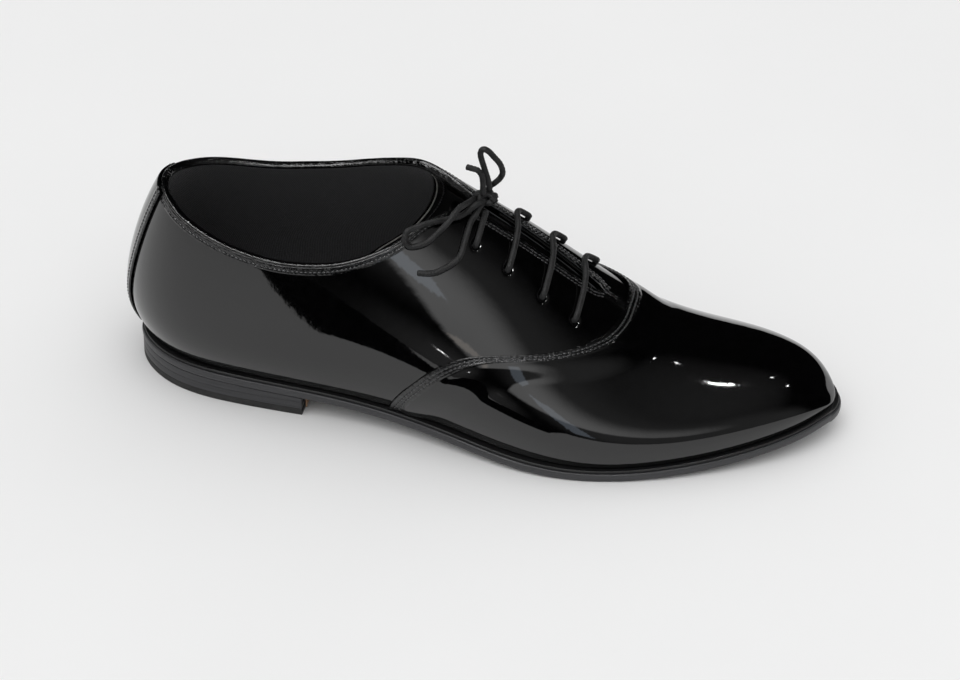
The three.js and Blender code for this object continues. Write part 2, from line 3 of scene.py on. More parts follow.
import bmesh
import bpy
import numpy as np
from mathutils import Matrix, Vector


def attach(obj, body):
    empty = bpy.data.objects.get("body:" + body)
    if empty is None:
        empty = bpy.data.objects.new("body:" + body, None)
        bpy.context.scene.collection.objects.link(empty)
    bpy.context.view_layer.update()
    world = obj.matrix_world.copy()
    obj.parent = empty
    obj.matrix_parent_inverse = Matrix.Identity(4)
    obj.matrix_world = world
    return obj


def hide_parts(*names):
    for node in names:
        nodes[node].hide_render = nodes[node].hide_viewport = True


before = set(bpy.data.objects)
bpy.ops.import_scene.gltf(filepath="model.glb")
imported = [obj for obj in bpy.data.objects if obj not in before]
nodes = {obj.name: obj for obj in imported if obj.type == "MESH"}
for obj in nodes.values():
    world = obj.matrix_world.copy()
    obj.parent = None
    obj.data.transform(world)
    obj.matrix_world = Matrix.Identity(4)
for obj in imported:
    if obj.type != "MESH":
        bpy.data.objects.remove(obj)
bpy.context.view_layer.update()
mm = 0.001
print("frame loaded")


# Rows of the last, from the back seam to the toe: x of the foot on the centre line, direction (180 straight
# back), the ridge's sideways shift, lateral and medial half widths, bulge, shoulder and crown shares, height
# share of the bulge, heights of the feather edge and the ridge. In millimetres, like the CAD part's.
last = {
    "stations": [
        (31, 180, 0, 45.5, 45.5, 8, 0.91, 0.5, 0.28, 14, 100),
        (31, 137, 0, 35.5, 35.5, 7.3, 0.91, 0.54, 0.28, 14.2, 103),
        (38, 104, 2.2, 30.5, 30, 6.3, 0.93, 0.58, 0.29, 14, 105),
        (62, 92, 5.2, 31, 30.5, 5.5, 0.95, 0.56, 0.33, 13, 105),
        (90, 90, 8.9, 32.5, 30.4, 5.4, 0.9, 0.51, 0.36, 11.4, 97),
        (118, 90, 10.5, 38.2, 31, 5, 0.82, 0.42, 0.38, 9, 80.5),
        (146, 90, 9.8, 47.3, 35, 3.8, 0.74, 0.39, 0.42, 6.2, 64.5),
        (174, 90, 7.4, 49.2, 38.5, 2.3, 0.7, 0.39, 0.45, 4.7, 44),
        (202, 90, 6.1, 41.2, 39.5, 1.8, 0.7, 0.39, 0.49, 5.7, 31.6),
        (228, 90, 6.1, 29, 34.3, 1.8, 0.75, 0.42, 0.53, 8.2, 29.4),
        (249, 90, 6.6, 14.4, 23.2, 1.5, 0.77, 0.44, 0.55, 11.2, 25.4),
        (258, 90, 5.8, 1.8, 12.2, 0.8, 0.78, 0.44, 0.55, 13.1, 14.5),
    ],
    "toeTip": (259.2, 5.4, 12),
    "boxCentre": (122.98, -4.82, 0),
}
toe = len(last["stations"])  # u runs from 0 at the back seam to this at the toe tip
ridge = 5  # v runs from 0 at the lateral feather edge over this to 10 at the medial one
unitU, unitV = 28, 16  # millimetres for one step of u and of v, roughly


def halfNet(side):
    # One side's control points: half width times (1, bulging, bulging, shoulder, crown, 0), turned to each
    # row's direction and leaning with the ridge.
    rows = np.array(last["stations"], float).T
    x, fan, shift, lateral, medial, bulge, shoulder, crown, share, foot, top = rows
    half = lateral if side < 0 else medial
    reach = np.stack([half, half + 0.8 * bulge, half + bulge, half * shoulder, half * crown, 0 * half], 1)
    rise = np.stack([0 * share, share / 3, share, share + 0.57 * (1 - share),
                     share + 0.93 * (1 - share), 1 + 0 * share], 1)
    lean = np.outer(shift, [0, 0, 0, 0.5, 0.85, 1])
    angle = np.radians(fan)[:, None]
    return np.stack([x[:, None] + reach * np.cos(angle), side * reach * np.sin(angle) + lean,
                     foot[:, None] + (top - foot)[:, None] * rise], 2)


def controlNet(side):
    # The half net with mirrored rows and columns past its ends, so that the surface runs on smoothly.
    near, far = halfNet(side), halfNet(-side)
    net = np.concatenate([near, far[:, 4:5]], 1)
    net = np.concatenate([np.concatenate([far[1], near[1, 4:5]])[None], net])
    tip = np.array(last["toeTip"], float)
    end = np.array([1.5 * tip[0] - 0.5 * net[-1, :, 0].mean(), tip[1], tip[2]])
    beyond = net[-1].copy()
    beyond[:, 1:] = 2 * tip[1:] - beyond[:, 1:]
    net = np.concatenate([net, np.repeat(end[None], net.shape[1], 0)[None], beyond[None]])
    return np.concatenate([2 * net[:, :1] - net[:, 1:2], net], 1)


lateralNet, medialNet = controlNet(-1), controlNet(1)


def splineWeights(t):
    # The four cubic B-spline weights at a share t of one span.
    r = 1 - t
    return np.stack([r**3, 3 * t**3 - 6 * t**2 + 4, 3 * r**3 - 6 * r**2 + 4, t**3], -1) / 6


def surfacePoint(u, v):
    # The bicubic B-spline sum of the net at (u, v), on the net of the side that (u, v) falls on.
    u, v = np.broadcast_arrays(np.asarray(u, float), np.asarray(v, float))
    over = v > ridge
    onMedial = (over == (u >= 0))[..., None]
    across = np.where(over, 2 * ridge - v, v)
    along = np.abs(u)
    row = np.clip(np.floor(along).astype(int), 0, toe - 1)
    column = np.clip(np.floor(across).astype(int), 0, ridge - 1)
    weightsU, weightsV = splineWeights(along - row), splineWeights(across - column)
    total = np.zeros(u.shape + (3,))
    for a in range(4):
        for b in range(4):
            cell = row + a, column + b
            share = (weightsU[..., a] * weightsV[..., b])[..., None]
            total += share * np.where(onMedial, medialNet[cell], lateralNet[cell])
    return total


def surfaceNormal(u, v):
    # The cross product of the differences along u and along v, made a unit vector.
    u, v = np.broadcast_arrays(np.asarray(u, float), np.asarray(v, float))
    step = 0.01
    u = np.minimum(u, toe - 3 * step)
    alongU = surfacePoint(u + step, v) - surfacePoint(u - step, v)
    alongV = surfacePoint(u, v + step) - surfacePoint(u, v - step)
    return unit(np.cross(alongU, alongV))


def unit(vectors):
    return vectors / np.maximum(np.linalg.norm(vectors, axis=-1, keepdims=True), 1e-9)


def shoePoint(u, v, height):
    # The surface point moved along its normal by a height.
    return surfacePoint(u, v) + surfaceNormal(u, v) * np.asarray(height, float)[..., None]


def smooth(value, low, high):
    # A share from 0 to 1 that eases in and out as the value goes from low to high.
    t = np.clip((value - low) / (high - low), 0, 1)
    return t * t * (3 - 2 * t)


def runLength(points, axis=0):
    # The distance run so far along one axis of an array of points.
    steps = np.linalg.norm(np.diff(points, axis=axis), axis=-1)
    return np.concatenate([0 * np.take(points, [0], axis)[..., 0], np.cumsum(steps, axis)], axis)


def splineThrough(points, count=400):
    # A Catmull-Rom curve through the points, resampled at even steps of its length.
    p = np.array(points, float)
    p = np.concatenate([2 * p[:1] - p[1:2], p, 2 * p[-1:] - p[-2:-1]])
    t = np.linspace(0, len(points) - 1, 24 * len(points))
    i = np.minimum(t.astype(int), len(points) - 2)
    w = (t - i)[:, None]
    a, b, c, d = p[i], p[i + 1], p[i + 2], p[i + 3]
    square, cube = 2 * a - 5 * b + 4 * c - d, 3 * b - a - 3 * c + d
    return evenly(0.5 * (2 * b + (c - a) * w + square * w**2 + cube * w**3), count)


def evenly(line, count):
    # The same line with its points at even steps of its length.
    length = runLength(line)
    at = np.linspace(0, length[-1], count)
    return np.stack([np.interp(at, length, line[:, k]) for k in range(line.shape[1])], 1)


def sample(line, share):
    # Points at shares 0 to 1 of an evenly sampled line.
    at = np.clip(share, 0, 1) * (len(line) - 1)
    return np.stack([np.interp(at, np.arange(len(line)), line[:, k]) for k in range(line.shape[1])], -1)


meeting = 4.985  # v where the two quarters meet under the vamp, just short of the ridge
# Outlines of the lateral side in (u, v), used for the medial side mirrored, and each row's eyelet.
outlines = {
    "seam": [
        (4.22, 0), (4.33, 0.6), (4.5, 1.15), (4.85, 1.82), (5.3, 2.28), (5.9, 2.64),
        (6.35, 2.94), (6.75, 3.37), (7, 3.85), (7.12, 4.4), (7.14, 5),
    ],
    "lateralTopline": [
        (0, 3.3), (0.6, 3.2), (1.3, 3), (2.2, 2.75), (2.9, 2.67), (3.6, 2.82), (4.2, 3.26), (4.6, 3.92),
        (4.92, 4.5), (5.1, 4.68),
    ],
    "medialTopline": [
        (0, 3.3), (0.5, 3.21), (1, 3.09), (1.9, 2.9), (2.5, 2.88), (3.15, 3), (3.8, 3.36), (4.3, 3.9),
        (4.75, 4.42), (5.02, 4.64),
    ],
    "facingEdge": [(5.4, 4.69), (6.3, 4.76), (6.72, 4.84), (6.86, 4.96), (7.05, meeting)],
    "eyelets": [(5.2, 3.95), (5.66, 3.88), (6.15, 3.82), (6.6, 3.8)],
}
halfSeam = splineThrough(outlines["seam"])
farSeam = [(u, 2 * ridge - v) for u, v in outlines["seam"][-2::-1]]
wholeSeam = splineThrough(outlines["seam"] + farSeam, 800)
eyelets = np.array(outlines["eyelets"])


def movedSeam(distance):
    # The lateral half of the seam, moved along its own normal towards the toe by some millimetres.
    tangent = np.gradient(halfSeam, axis=0)
    normal = unit(np.stack([tangent[:, 1] * unitV, -tangent[:, 0] * unitU], 1))
    moved = halfSeam + normal * distance / np.array([unitU, unitV])
    moved[:, 1] = np.clip(moved[:, 1], 0, meeting)
    moved[0, 1], moved[-1, 1] = 0, meeting
    return evenly(moved, 400)


weld = {"double": 4e-6, "sliver": 1e-7}  # metres: points merged, and edges dissolved, below these


def makePiece(name, points, uv, finish, slot, replaced=(), body="shoe", hem=None):
    # A mesh of the quads between neighbouring points of a grid (rows, columns, 3), or of many such grids
    # (count, rows, columns, 3), in millimetres of the last. uv has the same shape, or is None where no
    # pattern needs it. A hem is a share from 0 to 1 for each point, kept as an attribute that says how
    # crinkled the leather is there. The sign of the enclosed volume says which way the faces must turn.
    grids = points.reshape((-1,) + points.shape[-3:])
    maps = np.broadcast_to(0.0 if uv is None else uv, points.shape[:-1] + (2,)).reshape(-1, 2)
    count, rows, columns = grids.shape[:3]
    index = np.arange(count * rows * columns).reshape(count, rows, columns)
    quads = np.stack([index[:, :-1, :-1], index[:, 1:, :-1], index[:, 1:, 1:], index[:, :-1, 1:]], -1)
    quads = quads.reshape(-1, 4)
    verts = (grids.reshape(-1, 3) - np.array(last["boxCentre"])) * mm
    a, b, c, d = (verts[quads[:, k]] for k in range(4))
    volume = (a * np.cross(b, c)).sum() + (a * np.cross(c, d)).sum()
    if volume < 0:
        quads = quads[:, ::-1]
    mesh = bpy.data.meshes.new(name)
    mesh.vertices.add(len(verts))
    mesh.vertices.foreach_set("co", verts.ravel())
    mesh.loops.add(quads.size)
    mesh.loops.foreach_set("vertex_index", np.ascontiguousarray(quads).ravel())
    mesh.polygons.add(len(quads))
    mesh.polygons.foreach_set("loop_start", np.arange(0, quads.size, 4))
    mesh.update(calc_edges=True)
    corners = maps[quads.ravel()].astype(np.float32)
    mesh.uv_layers.new(name="UVMap").data.foreach_set("uv", corners.ravel())
    if hem is not None:
        crinkle = mesh.attributes.new("hem", "FLOAT", "POINT")
        crinkle.data.foreach_set("value", hem.astype(np.float32).ravel())
    work = bmesh.new()
    work.from_mesh(mesh)
    bmesh.ops.remove_doubles(work, verts=work.verts, dist=weld["double"])
    bmesh.ops.dissolve_degenerate(work, edges=work.edges, dist=weld["sliver"])
    work.to_mesh(mesh)
    work.free()
    mesh.polygons.foreach_set("use_smooth", np.ones(len(mesh.polygons), bool))
    mesh.materials.append(finish)
    piece = bpy.data.objects.new(name, mesh)
    bpy.context.scene.collection.objects.link(piece)
    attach(piece, body)
    if replaced:
        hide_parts(*replaced)
    return piece


def edgeDistances(points):
    # Distances in millimetres from each point of a grid to the grid's four edges, along it.
    down, right = runLength(points, 0), runLength(points, 1)
    return {"start": down, "end": down[-1:] - down, "low": right, "high": right[:, -1:] - right}


def skinGrid(at, rowShares, columnShares, outer, thickness, sewnEdges=None):
    # A leather skin with round edges: the outer face's grid, a half-round down to the inner face, that face
    # back again and a half-round up. Past both ends the ring closes on its middle in a quarter-round. The
    # outer face's height is a number or a function of u, v and the distances to the edges. sewnEdges gives
    # the width of the crinkled strip along each sewn edge.
    s, t = np.meshgrid(rowShares, columnShares, indexing="ij")
    uv = at(s, t)
    base = surfacePoint(uv[..., 0], uv[..., 1])
    distance = edgeDistances(base)
    height = outer(uv[..., 0], uv[..., 1], distance) if callable(outer) else np.full(s.shape, outer)
    normal = surfaceNormal(uv[..., 0], uv[..., 1])
    top = base + normal * height[..., None]
    under = base + normal * (height - thickness)[..., None]
    radius = thickness / 2
    arc = np.radians([45, 90, 135])

    def rim(column, beside):
        outwards = unit(top[:, column] - top[:, beside])
        middle = (top[:, column] + under[:, column]) / 2
        return (middle[:, None] + radius * (np.cos(arc)[None, :, None] * normal[:, column, None]
                + np.sin(arc)[None, :, None] * outwards[:, None]))

    ring = np.concatenate([top, rim(-1, -2), under[:, ::-1], rim(0, 1)[:, ::-1], top[:, :1]], 1)
    flat = np.concatenate([distance["low"], distance["low"][:, -1:] + radius * np.array([[1, 2, 3]]),
                           distance["low"][:, ::-1], distance["low"][:, :1] - radius * np.array([[3, 2, 1]]),
                           distance["low"][:, :1]], 1)
    maps = np.stack([np.broadcast_to(distance["start"].mean(1)[:, None], flat.shape), flat], -1)
    middle = (top + under) / 2
    spine = np.concatenate([middle, np.repeat(middle[:, -1:], 3, 1), middle[:, ::-1],
                            np.repeat(middle[:, :1], 3, 1), middle[:, :1]], 1)

    def closing(row, beside):
        outwards = unit(spine[row] - spine[beside])
        return np.stack([spine[row] + (ring[row] - spine[row]) * math.cos(a) + radius * outwards * math.sin(a)
                         for a in np.radians([30, 60, 90])])

    first, final = closing(0, 1)[::-1], closing(-1, -2)
    points = np.concatenate([first, ring, final])
    maps = np.concatenate([np.repeat(maps[:1], 3, 0), maps, np.repeat(maps[-1:], 3, 0)])
    near = np.zeros(s.shape)  # 1 inside the crinkled strips, fading to 0 just past them
    for kind, width in (sewnEdges or {}).items():
        near = np.maximum(near, 1 - smooth(distance[kind], width, 1.3 * width))
    hem = np.concatenate([near, np.repeat(near[:, -1:], 3, 1), near[:, ::-1], np.repeat(near[:, :1], 3, 1),
                          near[:, :1]], 1)
    hem = np.concatenate([np.repeat(hem[:1], 3, 0), hem, np.repeat(hem[-1:], 3, 0)])
    return points, maps, {"uv": uv, "distance": distance, "hem": hem}


def closer(count, first=1, end=1):
    # Shares 0 to 1 whose spacing at the start and at the end is that part of the even one, fading
    # exponentially over the first and the last eighth or so.
    x, fade = np.linspace(0, 1, count), 0.12
    speed = 1 - (1 - first) * np.exp(-x / fade) - (1 - end) * np.exp(-(1 - x) / fade)
    total = np.concatenate([[0], np.cumsum((speed[1:] + speed[:-1]) / 2)])
    return total / total[-1]


def stitches(name, uv, height, look, body="shoe"):
    # Short threads along a line of (u, v): each is a capsule, blunt-ended because its radius is a power of
    # the sine of the angle along it, and its two ends sink into the leather.
    place = shoePoint(uv[:, 0], uv[:, 1], height)
    length = runLength(place)
    at = np.arange(look["pitch"] / 2, length[-1], look["pitch"])
    centre = np.stack([np.interp(at, length, place[:, k]) for k in range(3)], 1)
    turn = np.stack([np.interp(at, length, uv[:, k]) for k in range(2)], 1)
    normal = surfaceNormal(turn[:, 0], turn[:, 1])
    tangent = unit(np.stack([np.interp(at, length, np.gradient(place[:, k])) for k in range(3)], 1))
    side = np.cross(normal, tangent)
    phi = np.radians([0, 25, 60, 120, 155, 180])[None, :, None, None]
    theta = np.linspace(0, 2 * np.pi, 7)[None, None, :, None]
    wide = look["thickness"] / 2 * np.sin(phi) ** 0.7
    normal, tangent, side, centre = (a[:, None, None, :] for a in (normal, tangent, side, centre))
    sink = -look["sink"] * np.cos(phi) ** 2
    points = (centre + tangent * (look["length"] / 2 * np.cos(phi)) + side * wide * np.cos(theta)
              + normal * (wide * np.sin(theta) + sink))
    makePiece(name, points, None, threadMaterial, "waxed_lace", body=body)


def lineAt(info, kind, distance):
    # The (u, v) line that keeps a distance from one edge of a skin, by linear interpolation across it.
    d, uv = info["distance"][kind], info["uv"]
    if kind in ("start", "end"):
        d, uv = d.T, uv.transpose(1, 0, 2)
    if kind in ("end", "high"):
        d, uv = d[:, ::-1], uv[:, ::-1]
    after = np.clip((d < distance).sum(1), 1, d.shape[1] - 1)
    rows = np.arange(len(d))
    low, high = d[rows, after - 1], d[rows, after]
    share = ((distance - low) / np.maximum(high - low, 1e-9))[:, None]
    return uv[rows, after - 1] * (1 - share) + uv[rows, after] * share


def groove(distance, at, look):
    # A shallow bell-shaped channel around a stitch line.
    return look["groove"] * np.exp(-(((distance - at) / look["grooveWidth"]) ** 2))


view = {
    "azimuth": 12.6,
    "elevation": 36,
    "distance": 1.546,
    "target": (0.00022, 0.00482, 0.0217),
    "lens": 152.2,
    "sensor": 36,
}


def placeCamera():
    data = bpy.data.cameras.new("camera")
    data.lens, data.sensor_width = view["lens"], view["sensor"]
    data.clip_start, data.clip_end = 0.05, 50
    camera = bpy.data.objects.new("camera", data)
    a, e = math.radians(view["azimuth"]), math.radians(view["elevation"])
    back = Vector((math.sin(a) * math.cos(e), -math.cos(a) * math.cos(e), math.sin(e)))
    camera.location = Vector(view["target"]) + back * view["distance"]
    camera.rotation_euler = (-back).to_track_quat("-Z", "Y").to_euler()
    bpy.context.scene.collection.objects.link(camera)
    bpy.context.scene.camera = camera


placeCamera()
print("camera placed")


def node(tree, kind, inputs=None, **settings):
    # A new node whose inputs are linked to the sockets given, or set to the values given.
    made = tree.nodes.new(kind)
    for key, value in settings.items():
        setattr(made, key, value)
    for key, value in (inputs or {}).items():
        socket = made.inputs[key]
        if isinstance(value, bpy.types.NodeSocket):
            tree.links.new(value, socket)
        else:
            socket.default_value = value
    return made


def mathNode(tree, operation, a, b=0.0, c=0.5):
    # c is the amount that MULTIPLY_ADD adds, and nothing else reads it.
    return node(tree, "ShaderNodeMath", {0: a, 1: b, 2: c}, operation=operation).outputs[0]


def group(name, inputs, outputs):
    # A shader node group: its inputs as (label, kind, value), its outputs as (label, kind).
    tree = bpy.data.node_groups.new(name, "ShaderNodeTree")
    for label, kind, value in inputs:
        socket = tree.interface.new_socket(label, in_out="INPUT", socket_type="NodeSocket" + kind)
        if value is not None:
            socket.default_value = value
    for label, kind in outputs:
        tree.interface.new_socket(label, in_out="OUTPUT", socket_type="NodeSocket" + kind)
    start, end = tree.nodes.new("NodeGroupInput"), tree.nodes.new("NodeGroupOutput")
    return tree, start.outputs, end.inputs


def mottleGroup():
    # Two sizes of cloudy noise: a broad one for colour and roughness, a fine one for the surface's relief.
    tree, given, out = group("mottle",
                             [("Vector", "Vector", None), ("Broad", "Float", 60.0), ("Fine", "Float", 900.0)],
                             [("Cloud", "Float"), ("Grain", "Float")])
    for scale, detail, mask in (("Broad", 4.0, "Cloud"), ("Fine", 3.0, "Grain")):
        noise = node(tree, "ShaderNodeTexNoise",
                     {"Vector": given["Vector"], "Scale": given[scale], "Detail": detail})
        tree.links.new(noise.outputs["Fac"], out[mask])
    return tree


def twillGroup():
    # Diagonal ribs as a sine of (x + y), crossed by finer threads as a sine of (x - y); both in millimetres.
    tree, given, out = group("twill", [("Vector", "Vector", None), ("Pitch", "Float", 0.9)],
                             [("Height", "Float"), ("Rib", "Float")])
    axes = node(tree, "ShaderNodeSeparateXYZ", {0: given["Vector"]}).outputs
    turn = mathNode(tree, "DIVIDE", 2 * math.pi, given["Pitch"])
    rib = mathNode(tree, "SINE", mathNode(tree, "MULTIPLY", mathNode(tree, "ADD", axes[0], axes[1]), turn))
    half = mathNode(tree, "MULTIPLY", turn, 1.7)
    slant = mathNode(tree, "SUBTRACT", axes[0], axes[1])
    thread = mathNode(tree, "SINE", mathNode(tree, "MULTIPLY", slant, half))
    height = mathNode(tree, "MULTIPLY_ADD", thread, 0.35)
    both = mathNode(tree, "ADD", height, mathNode(tree, "MULTIPLY", rib, 0.5))
    tree.links.new(both, out["Height"])
    tree.links.new(mathNode(tree, "MULTIPLY_ADD", rib, 0.5), out["Rib"])
    return tree


def streakGroup():
    # Noise drawn out along the first axis of a map in millimetres, for brushed and rasped faces.
    tree, given, out = group("streak",
                             [("Vector", "Vector", None), ("Along", "Float", 0.05), ("Across", "Float", 3.0)],
                             [("Streak", "Float")])
    scale = node(tree, "ShaderNodeCombineXYZ", {0: given["Along"], 1: given["Across"], 2: 1.0}).outputs[0]
    drawn = node(tree, "ShaderNodeVectorMath", {0: given["Vector"], 1: scale}, operation="MULTIPLY")
    noise = node(tree, "ShaderNodeTexNoise", {"Vector": drawn.outputs[0], "Scale": 1.0, "Detail": 5.0})
    tree.links.new(noise.outputs["Fac"], out["Streak"])
    return tree


mottle, twill, streak = mottleGroup(), twillGroup(), streakGroup()


def material(name, **sockets):
    # A material with plain numbers set on its shader; what follows the surface is linked afterwards.
    made = bpy.data.materials.new(name)
    made.use_nodes = True
    tree = made.node_tree
    shader = tree.nodes["Principled BSDF"]
    for key, value in sockets.items():
        shader.inputs[key.replace("_", " ")].default_value = value
    where = node(tree, "ShaderNodeTexCoord").outputs
    return made, tree, shader, where


def use(tree, which, **inputs):
    return node(tree, "ShaderNodeGroup", inputs, node_tree=which).outputs


def ramp(tree, value, low, high, dark, light):
    # A colour or number mixed from dark to light as a value goes from low to high.
    spread = node(tree, "ShaderNodeMapRange", {"Value": value, "From Min": low, "From Max": high}).outputs[0]
    if isinstance(dark, tuple):
        mixed = node(tree, "ShaderNodeMix", data_type="RGBA")
        tree.links.new(spread, mixed.inputs["Factor"])
        mixed.inputs[6].default_value = dark + (1,)
        mixed.inputs[7].default_value = light + (1,)
        return mixed.outputs[2]
    return node(tree, "ShaderNodeMapRange", {"Value": spread, "To Min": dark, "To Max": light}).outputs[0]


def tone(tree, shader, mask, low, high, **sockets):
    # Shader inputs that go from one value to the other as a mask goes from low to high.
    for key, (dark, light) in sockets.items():
        tree.links.new(ramp(tree, mask, low, high, dark, light), shader.inputs[key.replace("_", " ")])


def bump(tree, shader, height, strength, distance):
    made = node(tree, "ShaderNodeBump", {"Height": height, "Strength": strength, "Distance": distance})
    tree.links.new(made.outputs[0], shader.inputs["Normal"])


patent = {"color": ((0.0008, 0.0008, 0.0009), (0.0016, 0.0016, 0.0018)), "roughness": (0.03, 0.06),
          "ior": 1.53, "ripple": 260.0, "grain": 640.0, "rippleHeight": 0.13, "hemHeight": 2.4,
          "depth": 0.00025}


def patentLeather():
    # A black lacquer with a faint ripple all over, and a fine crinkle where the hem attribute says.
    made, tree, shader, where = material("patentLeather", IOR=patent["ior"], Coat_Weight=0.35,
                                         Coat_Roughness=0.02, Coat_IOR=1.5)
    parts = use(tree, mottle, Vector=where["Object"], Broad=patent["ripple"], Fine=patent["grain"])
    tone(tree, shader, parts["Cloud"], 0.35, 0.65, Base_Color=patent["color"], Roughness=patent["roughness"])
    hem = node(tree, "ShaderNodeAttribute", attribute_name="hem").outputs["Fac"]
    grain = mathNode(tree, "MULTIPLY", parts["Grain"], hem)
    crinkled = mathNode(tree, "MULTIPLY", grain, patent["hemHeight"])
    rippled = mathNode(tree, "MULTIPLY", parts["Cloud"], patent["rippleHeight"])
    bump(tree, shader, mathNode(tree, "ADD", crinkled, rippled), 1.0, patent["depth"])
    return made


cloth = {"color": ((0.008, 0.008, 0.009), (0.034, 0.034, 0.037)), "pitch": 0.85, "depth": 0.00015}


def liningCloth():
    made, tree, shader, where = material("liningCloth", Roughness=0.92, Sheen_Weight=0.12,
                                         Sheen_Roughness=0.5)
    parts = use(tree, twill, Vector=where["UV"], Pitch=cloth["pitch"])
    tone(tree, shader, parts["Rib"], 0.2, 0.9, Base_Color=cloth["color"])
    bump(tree, shader, parts["Height"], 0.6, cloth["depth"])
    return made


braid = {"color": ((0.004, 0.004, 0.004), (0.017, 0.017, 0.018)), "roughness": (0.48, 0.66),
         "cloud": 420.0, "fibre": 3200.0, "depth": 0.00016}


def waxedBraid():
    made, tree, shader, where = material("waxedBraid", Specular_IOR_Level=0.4, Sheen_Weight=0.04)
    parts = use(tree, mottle, Vector=where["Object"], Broad=braid["cloud"], Fine=braid["fibre"])
    tone(tree, shader, parts["Cloud"], 0.35, 0.65, Base_Color=braid["color"], Roughness=braid["roughness"])
    bump(tree, shader, parts["Grain"], 0.8, braid["depth"])
    return made


sewing = {"color": ((0.008, 0.008, 0.009), (0.03, 0.03, 0.033)), "roughness": (0.2, 0.36),
          "cloud": 500.0, "fibre": 4000.0}


def thread():
    made, tree, shader, where = material("thread", Specular_IOR_Level=0.7, Coat_Weight=0.8,
                                         Coat_Roughness=0.12)
    parts = use(tree, mottle, Vector=where["Object"], Broad=sewing["cloud"], Fine=sewing["fibre"])
    tone(tree, shader, parts["Cloud"], 0.3, 0.7, Base_Color=sewing["color"])
    tone(tree, shader, parts["Grain"], 0.3, 0.7, Roughness=sewing["roughness"])
    return made


# Dyed leather edges: darkest and lightest colour, and the least roughness.
edgeFinishes = {
    "soleEdge": ((0.022, 0.022, 0.024), (0.05, 0.05, 0.054), 0.34),
    "weltEdge": ((0.004, 0.004, 0.004), (0.012, 0.012, 0.013), 0.3),
    "heelEdge": ((0.018, 0.018, 0.02), (0.046, 0.046, 0.05), 0.38),
}
# Plain grained stuffs: darkest and lightest colour, the least roughness, the scales of their clouds and
# grain, the grain's depth in metres, and how metallic they are.
grainedFinishes = {
    "heelRubber": ((0.012, 0.012, 0.012), (0.022, 0.022, 0.022), 0.6, 200.0, 1800.0, 0.0001, 0.0),
    "fibreBoard": ((0.22, 0.14, 0.08), (0.36, 0.25, 0.16), 0.75, 150.0, 2500.0, 0.0001, 0.0),
    "groundCork": ((0.2, 0.11, 0.05), (0.5, 0.34, 0.2), 0.8, 700.0, 2000.0, 0.0002, 0.0),
    "springSteel": ((0.35, 0.36, 0.38), (0.55, 0.56, 0.58), 0.28, 90.0, 1500.0, 0.00002, 1.0),
    "nailSteel": ((0.35, 0.33, 0.3), (0.6, 0.57, 0.52), 0.35, 900.0, 4000.0, 0.00004, 1.0),
    "stayTape": ((0.006, 0.006, 0.006), (0.014, 0.014, 0.014), 0.85, 400.0, 2600.0, 0.0001, 0.0),
    "eyeletLacquer": ((0.01, 0.01, 0.01), (0.03, 0.03, 0.03), 0.3, 500.0, 3000.0, 0.00003, 0.4),
    "rawEdge": ((0.2, 0.2, 0.19), (0.38, 0.37, 0.35), 0.6, 500.0, 3000.0, 0.00006, 0.0),
    "naturalLeather": ((0.2, 0.11, 0.06), (0.36, 0.22, 0.13), 0.55, 300.0, 2500.0, 0.0001, 0.0),
}


def dyedEdge(name, dark, light, rough):
    made, tree, shader, where = material(name)
    parts = use(tree, streak, Vector=where["UV"], Along=0.03, Across=4.0)
    tone(tree, shader, parts["Streak"], 0.3, 0.7, Base_Color=(dark, light), Roughness=(rough, rough + 0.14))
    bump(tree, shader, parts["Streak"], 0.35, 0.00012)
    return made


def grained(name, dark, light, rough, broad, fine, depth, metallic):
    made, tree, shader, where = material(name, Metallic=metallic)
    parts = use(tree, mottle, Vector=where["Object"], Broad=broad, Fine=fine)
    tone(tree, shader, parts["Cloud"], 0.3, 0.7, Base_Color=(dark, light))
    tone(tree, shader, parts["Grain"], 0.3, 0.7, Roughness=(rough, rough + 0.12))
    bump(tree, shader, parts["Grain"], 0.5, depth)
    return made


patentMaterial, clothMaterial = patentLeather(), liningCloth()
braidMaterial, threadMaterial = waxedBraid(), thread()
edges = {name: dyedEdge(name, *look) for name, look in edgeFinishes.items()}
stuffs = {name: grained(name, *look) for name, look in grainedFinishes.items()}
print("materials made")


laceLook = {"diameter": 2.3, "strands": 8, "relief": 0.15, "braidPitch": 5.2, "around": 32, "step": 0.3,
            "outside": 1.45, "inside": -6.1, "tipRound": 0.5, "tipShare": 0.55}


def smoothLine(points, step):
    # A Catmull-Rom curve through the points, evened out to about one point a step.
    line = splineThrough(points, 50 * len(points))
    return evenly(line, max(int(runLength(line)[-1] / step), 8))


def frames(line):
    # Directions carried along a line without twisting: each is the last one with the new tangent taken out.
    tangent = unit(np.gradient(line, axis=0))
    side = np.zeros_like(line)
    first = np.cross(tangent[0], [0.3, 0.5, 0.8])
    side[0] = first / np.linalg.norm(first)
    for i in range(1, len(line)):
        carried = side[i - 1] - tangent[i] * np.dot(side[i - 1], tangent[i])
        side[i] = carried / np.linalg.norm(carried)
    return tangent, side, np.cross(tangent, side)


def ringsAlong(line, theta, radius):
    # Circles square to a line, each with its first and last ring closed on the line's ends.
    _, side, up = frames(line)
    ring = side[:, None] * np.cos(theta)[None, :, None] + up[:, None] * np.sin(theta)[None, :, None]
    first, final = (np.repeat(line[k][None, None], len(theta), 1) for k in (0, -1))
    return np.concatenate([first, line[:, None] + ring * radius, final])


